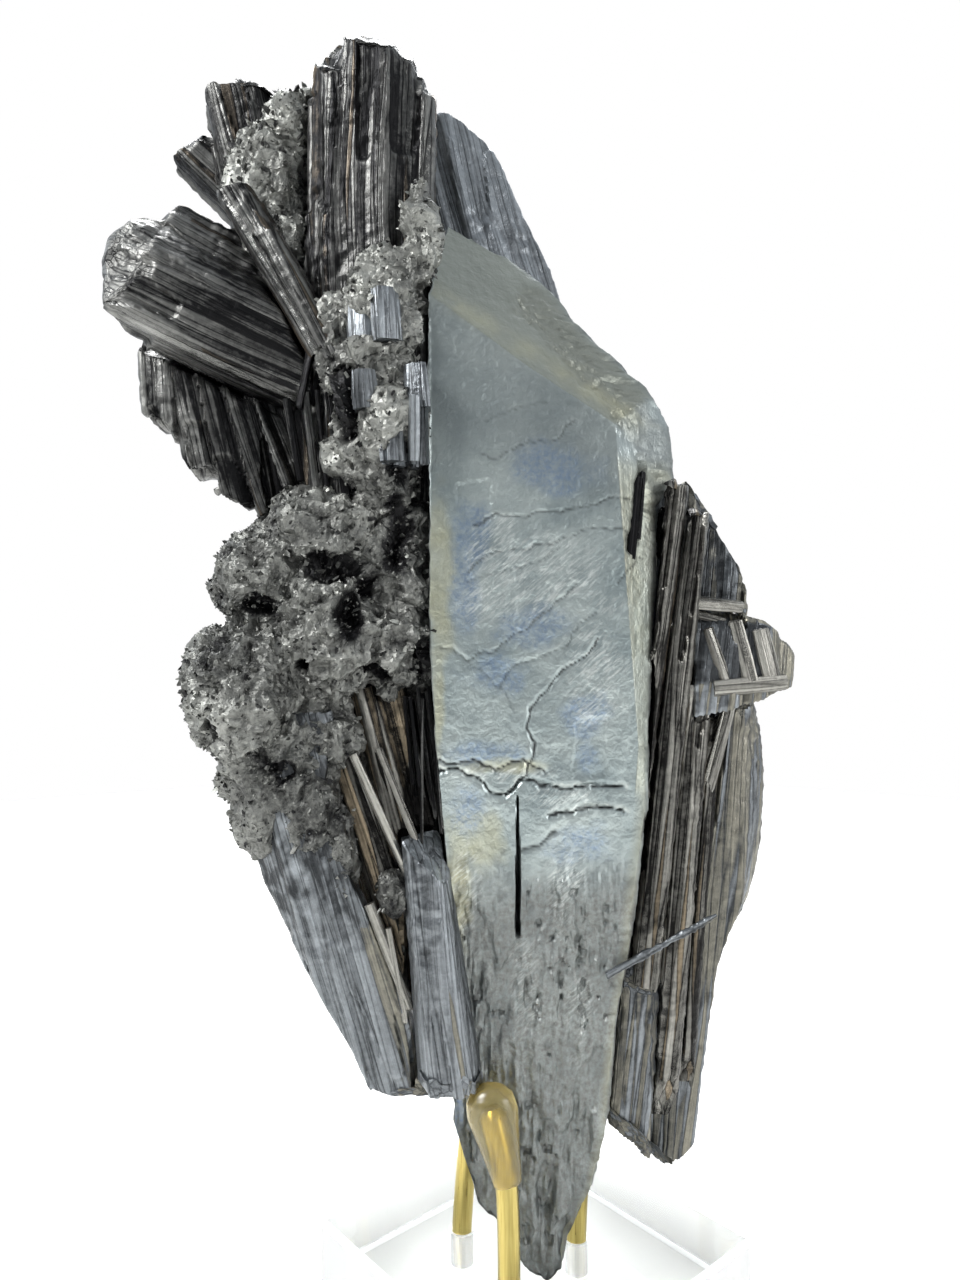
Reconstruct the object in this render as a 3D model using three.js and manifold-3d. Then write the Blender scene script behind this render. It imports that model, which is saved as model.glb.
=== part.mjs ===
// A stibnite crystal cluster held by three brass rods on a clear acrylic block.
// Millimetres, +Z up. The origin is the centre of the block's underside.
// The broad cleavage face of the main crystal looks along -Y, and its long axis stands along Z.
import * as THREE from "three";
import { mergeVertices } from "three/addons/utils/BufferGeometryUtils.js";
import Module from "manifold-3d";

const wasm = await Module();
wasm.setup();

// ---- Driving dimensions ----
const BLOCK_SIDE = 50;
const BLOCK_HEIGHT = 20;
const BLOCK_TURN = THREE.MathUtils.degToRad(41);
const BLOCK_CHAMFER = 0.8;
const ROD_DIAMETER = 3.2;
const ROD_SIDES = 12;
const SEAT_DEPTH = 12; // how far each rod goes down into the block
const SEAT_CLEARANCE = 0.2;
const PAD_LENGTH = 13; // the resin pad moulded over a rod's upper end
const PAD_WIDTH = 6.4;
const PAD_THICKNESS = 5;
const PAD_OVERHANG = 3.5; // how far the pad goes past the rod's end
const SEAM = 0.35; // air left between two crystals that grow against each other

// ---- Colours ----
const LEAD_GREY = 0x8c9296;
const DARK_GREY = 0x4b4d50;
const DRUSE_GREY = 0x6d6f70;
const BRASS = 0xc2a653;
const RESIN = 0xc9b978;
const ACRYLIC = 0xeef2f2;

const at = (x, y, z) => new THREE.Vector3(x, y, z);

/** A repeatable random source, so that each crystal keeps its own ribs. */
function seeded(seed) {
  let state = seed * 2654435761 + 1013904223;
  return () => {
    state = (Math.imul(state ^ (state >>> 15), 2246822519) + 374761393) | 0;
    return ((state ^ (state >>> 13)) >>> 0) / 4294967296;
  };
}

/** A closed three.js geometry as a solid. */
function solidOf(geometry) {
  const bare = geometry.clone();
  bare.deleteAttribute("normal");
  bare.deleteAttribute("uv");
  const merged = mergeVertices(bare, 1e-4);
  return new wasm.Manifold(
    new wasm.Mesh({
      numProp: 3,
      vertProperties: new Float32Array(merged.attributes.position.array),
      triVerts: new Uint32Array(merged.index.array),
    }),
  );
}

function geometryOf(positions, triangles) {
  const geometry = new THREE.BufferGeometry();
  geometry.setAttribute("position", new THREE.BufferAttribute(new Float32Array(positions), 3));
  geometry.setIndex(new THREE.BufferAttribute(new Uint32Array(triangles), 1));
  return geometry;
}

/** A solid as a named mesh with its own material. */
function meshOf(name, solid, { color, roughness, metalness, opacity = 1 }) {
  const { vertProperties, triVerts } = solid.getMesh();
  const geometry = geometryOf(vertProperties, triVerts);
  geometry.computeVertexNormals();
  const look = { color, roughness, metalness, opacity, transparent: opacity < 1 };
  const mesh = new THREE.Mesh(geometry, new THREE.MeshStandardMaterial(look));
  mesh.name = name;
  return mesh;
}

const joined = (solids) => solids.reduce((whole, next) => whole.add(next));

/** The biggest of the separate bodies that a cut leaves. */
function largestBody(solid) {
  const { vertProperties, triVerts } = solid.getMesh();
  const parent = Array.from({ length: vertProperties.length / 3 }, (_, i) => i);
  const bodyOf = (vertex) => {
    let top = vertex;
    while (parent[top] !== top) top = parent[top];
    parent[vertex] = top;
    return top;
  };
  for (let i = 0; i < triVerts.length; i += 3) {
    parent[bodyOf(triVerts[i + 1])] = bodyOf(triVerts[i]);
    parent[bodyOf(triVerts[i + 2])] = bodyOf(triVerts[i]);
  }
  const bodies = new Map();
  for (let i = 0; i < triVerts.length; i += 3) {
    const body = bodyOf(triVerts[i]);
    if (!bodies.has(body)) bodies.set(body, { volume: 0, triangles: [] });
    const corners = [0, 1, 2].map((k) => at(0, 0, 0).fromArray(vertProperties, 3 * triVerts[i + k]));
    bodies.get(body).volume += corners[0].dot(corners[1].cross(corners[2])) / 6;
    bodies.get(body).triangles.push(...triVerts.subarray(i, i + 3));
  }
  const best = [...bodies.values()].reduce((a, b) => (b.volume > a.volume ? b : a));
  return bodies.size === 1 ? solid : solidOf(geometryOf(vertProperties, best.triangles));
}

/** Takes off what lies beyond each facet, a point and an outward normal, moved out by a margin. */
function facetted(solid, facets, margin) {
  const size = 500;
  let left = solid;
  for (const [point, normal] of facets) {
    const outwards = normal.clone().normalize();
    const beyond = new THREE.BoxGeometry(size, size, size);
    beyond.translate(0, 0, size / 2 + margin);
    beyond.applyQuaternion(new THREE.Quaternion().setFromUnitVectors(at(0, 0, 1), outwards));
    beyond.translate(point.x, point.y, point.z);
    left = left.subtract(solidOf(beyond));
  }
  return left;
}

/** A flattened prism outline with the stepped ribs that stibnite has along its length. */
function ribbedOutline(width, depth, ribs, random) {
  const squareness = 0.62;
  const points = [];
  for (let i = 0; i < ribs; i++) {
    const angle = ((i + 0.6 * random()) / ribs) * 2 * Math.PI;
    const c = Math.cos(angle);
    const s = Math.sin(angle);
    const step = 1 - 0.13 * random();
    points.push(new THREE.Vector2(
      (width / 2) * Math.sign(c) * Math.abs(c) ** squareness * step,
      (depth / 2) * Math.sign(s) * Math.abs(s) ** squareness * step,
    ));
  }
  return new THREE.Shape(points);
}

// prism, plate and lump each give a function of a margin. With a margin of 0 it makes the crystal,
// and with more it makes the same crystal larger all round, for cutting a neighbour clear of it.

/**
 * One ribbed crystal from root to tip. Its section is width across and depth towards the viewer,
 * scaled by taper at the tip, and its end is broken to a blunt point by slanted planes.
 */
const prism = ({ root, tip, width, depth, taper = 1, ribs = 14, seed, blunt = 0.35 }) => (margin) => {
  const random = seeded(seed);
  const z = at(...tip).sub(at(...root)).normalize();
  const y = at(0, 1, 0).addScaledVector(z, -z.y).normalize();
  const x = y.clone().cross(z);
  const length = at(...tip).distanceTo(at(...root)) + 2 * margin;
  const outline = ribbedOutline(width + 2.4 * margin, depth + 2.4 * margin, ribs, random);
  const bar = new THREE.ExtrudeGeometry(outline, { depth: length, bevelEnabled: false });
  const position = bar.attributes.position;
  for (let i = 0; i < position.count; i++) {
    const scale = THREE.MathUtils.lerp(1, taper, position.getZ(i) / length);
    position.setXY(i, position.getX(i) * scale, position.getY(i) * scale);
  }
  bar.translate(0, 0, -margin);
  bar.applyMatrix4(new THREE.Matrix4().makeBasis(x, y, z).setPosition(...root));

  // Four planes share the crystal's end, leaning out across its width and its depth.
  const reach = Math.max(width, depth) * taper * blunt;
  const leans = [[1, 0.3], [-0.7, 0.5], [0.2, -0.9], [-0.2, 1.1]];
  const facets = leans.map(([acrossWidth, acrossDepth]) => [
    at(...tip).addScaledVector(z, -0.35 * reach * random()),
    z.clone().addScaledVector(x, 2 * blunt * acrossWidth).addScaledVector(y, 2 * blunt * acrossDepth),
  ]);
  return facetted(solidOf(bar), facets, margin);
};

/**
 * One flat crystal, drawn as an outline in X and Z with its thickness along Y from front to back.
 * Its facets are planes, each given by a point and an outward normal.
 */
const plate = ({ outline, front, back, facets = [] }) => (margin) => {
  const shape = new THREE.Shape(outline.map(([x, z]) => new THREE.Vector2(x, z)));
  const slab = new THREE.ExtrudeGeometry(shape, {
    depth: back - front,
    bevelEnabled: margin > 0,
    bevelThickness: margin,
    bevelSize: margin,
    bevelSegments: 1,
  });
  slab.rotateX(Math.PI / 2);
  slab.translate(0, back, 0);
  return facetted(solidOf(slab), facets.map(([point, normal]) => [at(...point), at(...normal)]), margin);
};

/** A rounded lump of the fine-grained crust, knobbly all over. */
const lump = ({ centre, size, seed }) => (margin) => {
  const random = seeded(seed);
  const waves = Array.from({ length: 7 }, () => ({
    way: at(random() - 0.5, random() - 0.5, random() - 0.5).normalize().multiplyScalar(3 + 5 * random()),
    start: 2 * Math.PI * random(),
  }));
  const ball = new THREE.IcosahedronGeometry(1, 2);
  const position = ball.attributes.position;
  const p = at(0, 0, 0);
  for (let i = 0; i < position.count; i++) {
    p.fromBufferAttribute(position, i).normalize();
    const knobs = waves.reduce((sum, { way, start }) => sum + Math.sin(way.dot(p) + start), 0);
    p.multiplyScalar(1 + 0.035 * knobs);
    position.setXYZ(i, p.x, p.y, p.z);
  }
  ball.scale(...size.map((side) => side + margin));
  ball.translate(...centre);
  return solidOf(ball);
};

// ---- The crystals, by where each grows ----

// The main crystal: a broad blade with a slanted end above and a thin tail below.
const MAIN_BLADE = [
  plate({
    outline: [
      [-15.8, 166], [-13.5, 179.5], [-4, 175], [2.5, 170], [6.5, 164], [15, 156],
      [21, 149], [22.6, 141.5], [18.4, 136], [17.6, 119], [16.2, 94], [13.4, 72],
      [11.6, 60], [10.2, 46], [7.8, 36], [4.2, 29], [3.4, 24.2], [1.2, 22.4],
      [-2, 24.6], [-5.6, 31], [-9, 34.4], [-12.4, 46], [-12.8, 62], [-13.2, 80],
      [-15, 100], [-16, 120],
    ],
    front: -17,
    back: 5,
    facets: [
      [[-15.8, -17, 166], [0.34, -0.82, 0.46]], // the slanted end facet
      [[0, -17, 166], [0.05, -1, -0.008]], // the broad face
      [[16.6, -13, 119], [1, -1.15, 0.06]], // the narrow facet to the right of it
      [[-12, -3, 100], [-0.75, 1, 0]],
      [[6, 4, 100], [0.6, 1, 0.05]],
      [[0, -5, 36], [0, 1, -0.12]], // the tail thins from behind
      [[0, -2, 175], [0, 1, 0.35]],
    ],
  }),
];
const CROWN_COLUMN = [
  prism({ root: [-25, -9, 138], tip: [-25, -11, 208.6], width: 10, depth: 15, ribs: 16, seed: 2 }),
  prism({ root: [-29.6, -8, 136], tip: [-30, -10.5, 204.8], width: 7.6, depth: 15, ribs: 16, seed: 3 }),
  prism({ root: [-33, -8, 138], tip: [-33, -9, 199.8], width: 5.6, depth: 11, ribs: 10, seed: 4 }),
  prism({ root: [-20.4, -10, 150], tip: [-20.6, -10, 206.4], width: 6, depth: 13, ribs: 12, seed: 5 }),
  prism({ root: [-18.6, -10, 150], tip: [-17.6, -10, 200.4], width: 5.4, depth: 10, ribs: 10, seed: 30 }),
];
const UPPER_LEFT_CRYSTALS = [
  prism({ root: [-41.5, -1, 179], tip: [-47.2, -4, 206], width: 13.5, depth: 9, seed: 6 }),
  prism({ root: [-43, 0, 183], tip: [-57.2, -2, 197], width: 8.4, depth: 7, ribs: 10, seed: 7 }),
];
const LEFT_ARM = [
  prism({
    root: [-31, -7, 156.5], tip: [-64.5, -16, 171.5], width: 16.5, depth: 15,
    ribs: 18, seed: 8, blunt: 0.5,
  }),
  prism({ root: [-31, -4, 165], tip: [-60.5, -9, 180], width: 12, depth: 11, seed: 9 }),
];
const LEFT_SLIVERS = [
  prism({ root: [-31, -15, 158], tip: [-46, -14, 184], width: 6, depth: 4, ribs: 10, seed: 10 }),
  prism({ root: [-29.5, -16, 157], tip: [-40, -16, 176], width: 4, depth: 3, ribs: 8, seed: 11 }),
];
// The fan's laths hang from the arm, each with its lower end a little further in.
const FAN_LATHS = [
  [-57.8, 163, -56.8, 146.4], [-55.4, 163, -50.8, 139.8], [-52.4, 162, -45, 134.8],
  [-48.6, 161, -39.6, 133.6], [-44.4, 160, -35.4, 136], [-40.4, 158, -32.6, 140],
];
const LEFT_FAN = FAN_LATHS.map(([topX, topZ, endX, endZ], i) =>
  prism({
    root: [topX, -8, topZ], tip: [endX, -8 + 0.4 * i, endZ], width: 6, depth: 10 - 0.6 * i,
    ribs: 10, seed: 12 + i, blunt: 0.2,
  }));
const TOP_RIGHT_CRYSTAL = [
  plate({
    outline: [
      [-16, 160], [-16.5, 200], [-13.6, 200.6], [-7.3, 197.2], [-2.4, 187.6], [2.9, 177],
      [8, 167], [4, 158],
    ],
    front: -4,
    back: 6,
    facets: [[[-10, -3.5, 185], [0.45, -1, 0.1]], [[-3, 5, 180], [0.5, 1, 0.1]]],
  }),
];
const LOWER_LEFT_BLADE = [
  plate({
    outline: [
      [-43.2, 90.5], [-40.2, 80.6], [-34.9, 69.4], [-27.2, 57], [-24.4, 51], [-20.8, 49.4],
      [-15.4, 50], [-17, 57.5], [-22.4, 70], [-27.2, 81.5], [-31, 93], [-30, 106], [-41, 106],
    ],
    front: -18,
    back: -4,
    facets: [
      [[-40, -15.5, 80], [-0.7, -1, -0.2]],
      [[-38, -5, 80], [-0.9, 1, 0]],
      [[-22, -6, 52], [0, 1, -0.3]],
    ],
  }),
];
const LOWER_LEFT_PRISM = [
  prism({
    root: [-17, -16.5, 88], tip: [-12.6, -18, 50.5], width: 6.8, depth: 6.5, taper: 1.5,
    ribs: 12, seed: 18, blunt: 0.1,
  }),
];
const INNER_LEFT_BLADES = [
  prism({ root: [-21.8, -10, 110], tip: [-14.4, -11, 79], width: 5.6, depth: 7, ribs: 10, seed: 19 }),
  prism({ root: [-26.4, -11, 109], tip: [-16.8, -13, 76], width: 5.8, depth: 7, ribs: 10, seed: 20 }),
  prism({ root: [-29.4, -12, 100], tip: [-16.8, -14, 62], width: 6, depth: 8, ribs: 10, seed: 21 }),
  prism({ root: [-29.5, -11, 88], tip: [-18.6, -13, 54], width: 6, depth: 7, ribs: 10, seed: 22 }),
];
// Each right-hand blade stands a little further out and further back than the one before it.
const RIGHT_BLADES = [
  [10.6, -10.4, 62, 21, 141.6], [14.6, -8.6, 50, 24, 137.5], [18.8, -7, 42, 26.6, 133],
  [22.4, -5.4, 44, 29, 129],
].map(([footX, y, footZ, topX, topZ], i) => prism({
  root: [footX, y, footZ], tip: [topX, y, topZ], width: 4.8, depth: 7, ribs: 10, seed: 23 + i,
}));
const RIGHT_BACK_CRYSTAL = [
  plate({
    outline: [
      [14, 35], [16.4, 33], [22.8, 33.6], [25.3, 37.2], [26.9, 51], [29, 65],
      [33, 75], [34, 84.5], [36.3, 91], [35.2, 98], [35.4, 120], [33, 127],
      [29.2, 133.3], [23.8, 142], [17.5, 139], [16, 100], [13.6, 70], [12, 46],
    ],
    front: -6,
    back: 7,
    facets: [
      [[34.5, -4.5, 90], [1, -1, 0]],
      [[24, 6, 90], [0.8, 1, 0.1]],
      [[18, 4, 45], [0, 1, -0.25]],
    ],
  }),
  prism({ root: [12.4, -9.5, 29.6], tip: [15.6, -8, 66], width: 9, depth: 8.5, taper: 0.9, seed: 28 }),
];
const RIGHT_STUB = [
  plate({
    outline: [
      [24, 122], [30, 121.6], [35.6, 119.2], [38, 116.6], [40.8, 113.4], [40.8, 109],
      [34.6, 106.6], [24, 104],
    ],
    front: -10,
    back: 2,
    facets: [[[39, -7, 111], [1, -1, 0]], [[38, 1, 111], [1, 1, 0]], [[32, -9, 119], [0, -1, 0.7]]],
  }),
];
const STRAY_NEEDLE = [
  prism({
    root: [9.4, -18, 67.8], tip: [26.6, -14, 75.4], width: 1.4, depth: 1.2, taper: 0.6,
    ribs: 6, seed: 29,
  }),
];

const UPPER_DRUSE = [
  lump({ centre: [-40, -6, 187], size: [7.5, 7, 7.5], seed: 31 }),
  lump({ centre: [-36, -7, 195], size: [5, 6, 5], seed: 32 }),
  lump({ centre: [-38.5, -6, 178], size: [6, 7, 6.5], seed: 33 }),
];
const LOWER_DRUSE = [
  lump({ centre: [-43, -12, 108], size: [9.4, 11, 12], seed: 34 }),
  lump({ centre: [-40, -10, 126], size: [8.8, 9, 8], seed: 35 }),
  lump({ centre: [-32, -10, 132], size: [9, 10, 7], seed: 36 }),
  lump({ centre: [-30.5, -9, 118], size: [11.5, 12, 12], seed: 37 }),
  lump({ centre: [-21, -9, 129], size: [7, 9, 10], seed: 38 }),
  lump({ centre: [-21.5, -10, 114.5], size: [7.5, 9, 8], seed: 39 }),
  lump({ centre: [-39, -11, 97], size: [8, 9.5, 10], seed: 40 }),
  lump({ centre: [-23.5, -12, 149], size: [8, 9, 16], seed: 41 }),
  lump({ centre: [-22.5, -15, 163], size: [6.6, 6, 7], seed: 42 }),
];

// ---- The stand ----
// Each rod stands straight in its seat at foot, then leans and bends to its end in the resin pad.
const RODS = {
  front: { foot: [-4.5, -20.5], bends: [[-4.6, -20.5, 34], [-5.2, -20.6, 42]], end: [-7, -20, 50] },
  left: { foot: [-11.5, 0.2], bends: [[-10.7, 0.2, 32], [-10, 0, 38]], end: [-8.6, -0.6, 46] },
  right: { foot: [6.9, -2], bends: [[7.3, -2, 31], [7.2, -1.2, 38]], end: [6.2, -0.6, 46] },
};

function circle(radius, sides) {
  const points = [];
  for (let i = 0; i < sides; i++) {
    const angle = (i / sides) * 2 * Math.PI;
    points.push(new THREE.Vector2(radius * Math.cos(angle), radius * Math.sin(angle)));
  }
  return new THREE.Shape(points);
}

/** A round bar of a given radius along a rod's route. */
function bar({ foot, bends, end }, radius) {
  const inSeat = [BLOCK_HEIGHT - SEAT_DEPTH + SEAT_CLEARANCE, BLOCK_HEIGHT - 5, BLOCK_HEIGHT + 1];
  const route = [...inSeat.map((z) => [...foot, z]), ...bends, end];
  const path = new THREE.CatmullRomCurve3(route.map((point) => at(...point)));
  return solidOf(new THREE.ExtrudeGeometry(circle(radius, ROD_SIDES), { extrudePath: path, steps: 15 }));
}

/** The resin pad over a rod's upper end: a flattened drop, with a socket that the rod fills. */
function pad(rod) {
  const profile = new THREE.SplineCurve([
    [0, -0.5], [0.3, -0.46], [0.4, -0.2], [0.5, 0.2], [0.4, 0.42], [0, 0.5],
  ].map(([x, y]) => new THREE.Vector2(x, y)));
  const points = profile.getPoints(10);
  points[0].x = 0;
  points[10].x = 0;
  const drop = new THREE.LatheGeometry(points, 16);
  drop.rotateX(Math.PI / 2);
  drop.scale(PAD_WIDTH, PAD_THICKNESS, PAD_LENGTH);
  const end = at(...rod.end);
  const z = end.clone().sub(at(...rod.bends[1])).normalize();
  const y = at(0, 1, 0).addScaledVector(z, -z.y).normalize();
  const x = y.clone().cross(z);
  const middle = end.addScaledVector(z, PAD_OVERHANG - PAD_LENGTH / 2);
  drop.applyMatrix4(new THREE.Matrix4().makeBasis(x, y, z).setPosition(middle));
  return solidOf(drop).subtract(bar(rod, ROD_DIAMETER / 2 + SEAT_CLEARANCE));
}

const turned = (x, y) => at(x, y, 0).applyAxisAngle(at(0, 0, 1), BLOCK_TURN);

function block() {
  const half = BLOCK_SIDE / 2 - BLOCK_CHAMFER;
  const corners = [[-half, -half], [half, -half], [half, half], [-half, half]].map(([x, y]) => turned(x, y));
  const outline = new THREE.Shape(corners.map((c) => new THREE.Vector2(c.x, c.y)));
  const body = new THREE.ExtrudeGeometry(outline, {
    depth: BLOCK_HEIGHT - 2 * BLOCK_CHAMFER,
    bevelThickness: BLOCK_CHAMFER,
    bevelSize: BLOCK_CHAMFER,
    bevelSegments: 1,
  });
  body.translate(0, 0, BLOCK_CHAMFER);
  const seats = Object.values(RODS).map(({ foot }) => {
    const seat = new THREE.CylinderGeometry(1, 1, SEAT_DEPTH + 1, 24);
    seat.scale(ROD_DIAMETER / 2 + SEAT_CLEARANCE, 1, ROD_DIAMETER / 2 + SEAT_CLEARANCE);
    seat.rotateX(Math.PI / 2);
    seat.translate(...foot, BLOCK_HEIGHT - SEAT_DEPTH / 2 + 0.5);
    return solidOf(seat);
  });
  return seats.reduce((left, seat) => left.subtract(seat), solidOf(body));
}

// ---- The whole object ----
const bright = { color: LEAD_GREY, roughness: 0.35, metalness: 0.8 };
const dark = { color: DARK_GREY, roughness: 0.4, metalness: 0.8 };
const crust = { color: DRUSE_GREY, roughness: 0.55, metalness: 0.6 };
const brass = { color: BRASS, roughness: 0.3, metalness: 1 };
const resin = { color: RESIN, roughness: 0.35, metalness: 0, opacity: 0.7 };
const acrylic = { color: ACRYLIC, roughness: 0.05, metalness: 0, opacity: 0.35 };

// Each piece gives way, by the width of a seam, to all those listed before it.
const GROWN_PIECES = [
  ["main_blade", MAIN_BLADE, bright],
  ["lower_left_prism", LOWER_LEFT_PRISM, bright],
  ["lower_left_blade", LOWER_LEFT_BLADE, bright],
  ["inner_left_blades", INNER_LEFT_BLADES, dark],
  ["crown_column", CROWN_COLUMN, dark],
  ["lower_druse", LOWER_DRUSE, crust],
  ["upper_druse", UPPER_DRUSE, crust],
  ["left_slivers", LEFT_SLIVERS, dark],
  ["left_arm", LEFT_ARM, dark],
  ["left_fan", LEFT_FAN, dark],
  ["upper_left_crystals", UPPER_LEFT_CRYSTALS, dark],
  ["top_right_crystal", TOP_RIGHT_CRYSTAL, bright],
  ["right_stub", RIGHT_STUB, bright],
  ["right_back_crystal", RIGHT_BACK_CRYSTAL, bright],
  ...RIGHT_BLADES.map((blade, i) => [`right_blade_${i + 1}`, [blade], dark]),
  ["stray_needle", STRAY_NEEDLE, bright],
];

const specimen = new THREE.Group();
const neighbours = [];
for (const [name, members, look] of GROWN_PIECES) {
  const grown = (margin) => joined(members.map((member) => member(margin)));
  const piece = neighbours.reduce((left, neighbour) => left.subtract(neighbour), grown(0));
  specimen.add(meshOf(name, largestBody(piece), look));
  neighbours.push(grown(SEAM));
}

specimen.add(meshOf("block", block(), acrylic));
for (const [side, rod] of Object.entries(RODS)) {
  const sleeve = neighbours.reduce((left, neighbour) => left.subtract(neighbour), pad(rod));
  specimen.add(meshOf(`rod_${side}`, bar(rod, ROD_DIAMETER / 2), brass));
  specimen.add(meshOf(`pad_${side}`, largestBody(sleeve), resin));
}

export default specimen;
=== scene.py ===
"""A stibnite crystal cluster on brass rods in a clear acrylic block.

Shapes are worked out in millimetres, in the frame of the CAD model, and turned to metres as each
mesh is made. X is across, +Z is up, and the broad face of the main crystal looks along -Y.
"""

import math

import bmesh
import bpy
import numpy as np
from mathutils import Matrix, Vector


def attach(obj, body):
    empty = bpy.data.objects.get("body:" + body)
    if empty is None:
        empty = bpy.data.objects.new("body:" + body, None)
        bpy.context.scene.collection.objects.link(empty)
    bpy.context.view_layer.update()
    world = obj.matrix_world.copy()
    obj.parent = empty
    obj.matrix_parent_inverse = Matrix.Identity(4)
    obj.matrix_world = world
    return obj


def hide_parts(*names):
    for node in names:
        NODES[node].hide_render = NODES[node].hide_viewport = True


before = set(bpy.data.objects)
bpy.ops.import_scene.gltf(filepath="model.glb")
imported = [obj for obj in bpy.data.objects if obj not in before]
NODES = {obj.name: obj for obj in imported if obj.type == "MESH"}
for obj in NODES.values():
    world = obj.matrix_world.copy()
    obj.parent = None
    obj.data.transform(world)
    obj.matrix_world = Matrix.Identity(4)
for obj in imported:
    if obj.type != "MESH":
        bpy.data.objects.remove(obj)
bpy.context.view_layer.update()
MM = 0.001
BODY = "root"


# ---------------------------------------------------------------- small tools

def linear(hex_colour):
    """An sRGB hex colour as linear red, green, blue and alpha."""
    parts = [int(hex_colour[i:i + 2], 16) / 255 for i in (0, 2, 4)]
    return (*[c / 12.92 if c <= 0.04045 else ((c + 0.055) / 1.055) ** 2.4 for c in parts], 1.0)


def live(sockets, key):
    """The socket with that place or name that the node's settings leave in use."""
    if isinstance(key, int):
        return sockets[key]
    return next(s for s in sockets if s.name == key and s.enabled)


def add_node(tree, kind, inputs=None, **settings):
    """Adds a node. inputs maps a socket's name or place to a value or to another node's output."""
    node = tree.nodes.new(kind)
    for key, value in settings.items():
        setattr(node, key, value)
    for key, value in (inputs or {}).items():
        socket = live(node.inputs, key)
        if isinstance(value, bpy.types.NodeSocket):
            tree.links.new(value, socket)
        else:
            socket.default_value = value
    return node


def hashed(x, y, z, seed):
    """A repeatable value from 0 to 1 for each whole-number point."""
    h = (x * 374761393 + y * 668265263 + z * 1274126177 + seed * 974711) & 0xFFFFFFFF
    h = ((h ^ (h >> 13)) * 1103515245) & 0xFFFFFFFF
    return ((h ^ (h >> 16)) & 0xFFFF) / 0xFFFF


def noise(points, cell, seed=0):
    """Smooth noise from -1 to 1. cell is the size of its features, one number or one per axis."""
    scaled = np.asarray(points, float) / np.asarray(cell, float)
    low = np.floor(scaled).astype(np.int64)
    part = scaled - low
    part = part * part * (3 - 2 * part)
    total = 0
    for corner in range(8):
        dx, dy, dz = corner & 1, (corner >> 1) & 1, corner >> 2
        weight = (
            (part[..., 0] if dx else 1 - part[..., 0])
            * (part[..., 1] if dy else 1 - part[..., 1])
            * (part[..., 2] if dz else 1 - part[..., 2])
        )
        total = total + weight * hashed(low[..., 0] + dx, low[..., 1] + dy, low[..., 2] + dz, seed)
    return 2 * total - 1


def rough_noise(points, cell, seed=0, octaves=3):
    """Noise with finer noise added to it, each octave half the size and half the height."""
    cell = np.asarray(cell, float)
    return sum(0.5 ** k * noise(points, cell / 2 ** k, seed + 31 * k) for k in range(octaves))


def smooth_step(low, high, value):
    """0 at low and 1 at high, with a smooth rise between. high may be the smaller of the two."""
    t = np.clip((value - low) / (high - low), 0, 1)
    return t * t * (3 - 2 * t)


def placed(name, data):
    """A new object in the scene with that mesh, light or camera."""
    item = bpy.data.objects.new(name, data)
    bpy.context.scene.collection.objects.link(item)
    return item


def set_values(mesh, name, values):
    """Keeps a number, a whole number or a vector at each vertex of a mesh, under a name."""
    values = np.asarray(values)
    kind, field, number = "FLOAT", "value", np.float32
    if values.ndim == 2:
        kind, field = "FLOAT_VECTOR", "vector"
    elif np.issubdtype(values.dtype, np.integer):
        kind, number = "INT", np.int32
    mesh.attributes.new(name, kind, "POINT").data.foreach_set(field, values.astype(number).ravel())


def mesh_object(name, vertices, faces, attributes=None):
    """A mesh piece from millimetre vertices, with named values kept at its vertices."""
    mesh = bpy.data.meshes.new(name)
    mesh.from_pydata((np.asarray(vertices) * MM).tolist(), [], faces)
    for key, values in (attributes or {}).items():
        set_values(mesh, key, values)
    return placed(name, mesh)


def tube_faces(rows, sides):
    """The walls and the two ends of a closed tube, made of rings with the same number of points."""
    faces = []
    for row in range(rows - 1):
        a = np.arange(sides) + row * sides
        b = np.roll(a, -1)
        faces += np.stack([a, b, b + sides, a + sides], 1).tolist()
    return faces + [list(range(sides))[::-1], [(rows - 1) * sides + i for i in range(sides)]]


def node_group(name, sockets):
    """An empty Geometry Nodes tree with those sockets, each given by its name, direction and kind."""
    tree = bpy.data.node_groups.new(name, "GeometryNodeTree")
    for label, direction, kind in sockets:
        tree.interface.new_socket(label, in_out=direction, socket_type=kind)
    return tree


def set_piece(piece, nodes, material=None):
    """Finishes a piece: its material, the body it rides on and the CAD nodes it stands for."""
    if material:
        piece.data.materials.clear()
        piece.data.materials.append(material)
    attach(piece, BODY)
    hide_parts(*nodes)


def shade_smooth(piece, angle_deg):
    """Smooth shading that keeps the edges sharper than the angle."""
    piece.data.shade_smooth()
    piece.data.set_sharp_from_angle(angle=math.radians(angle_deg))


# ---------------------------------------------------------------- materials

def empty_material(name):
    """A material with nothing in its node tree yet."""
    material = bpy.data.materials.new(name)
    material.use_nodes = True
    material.node_tree.nodes.clear()
    return material


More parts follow.
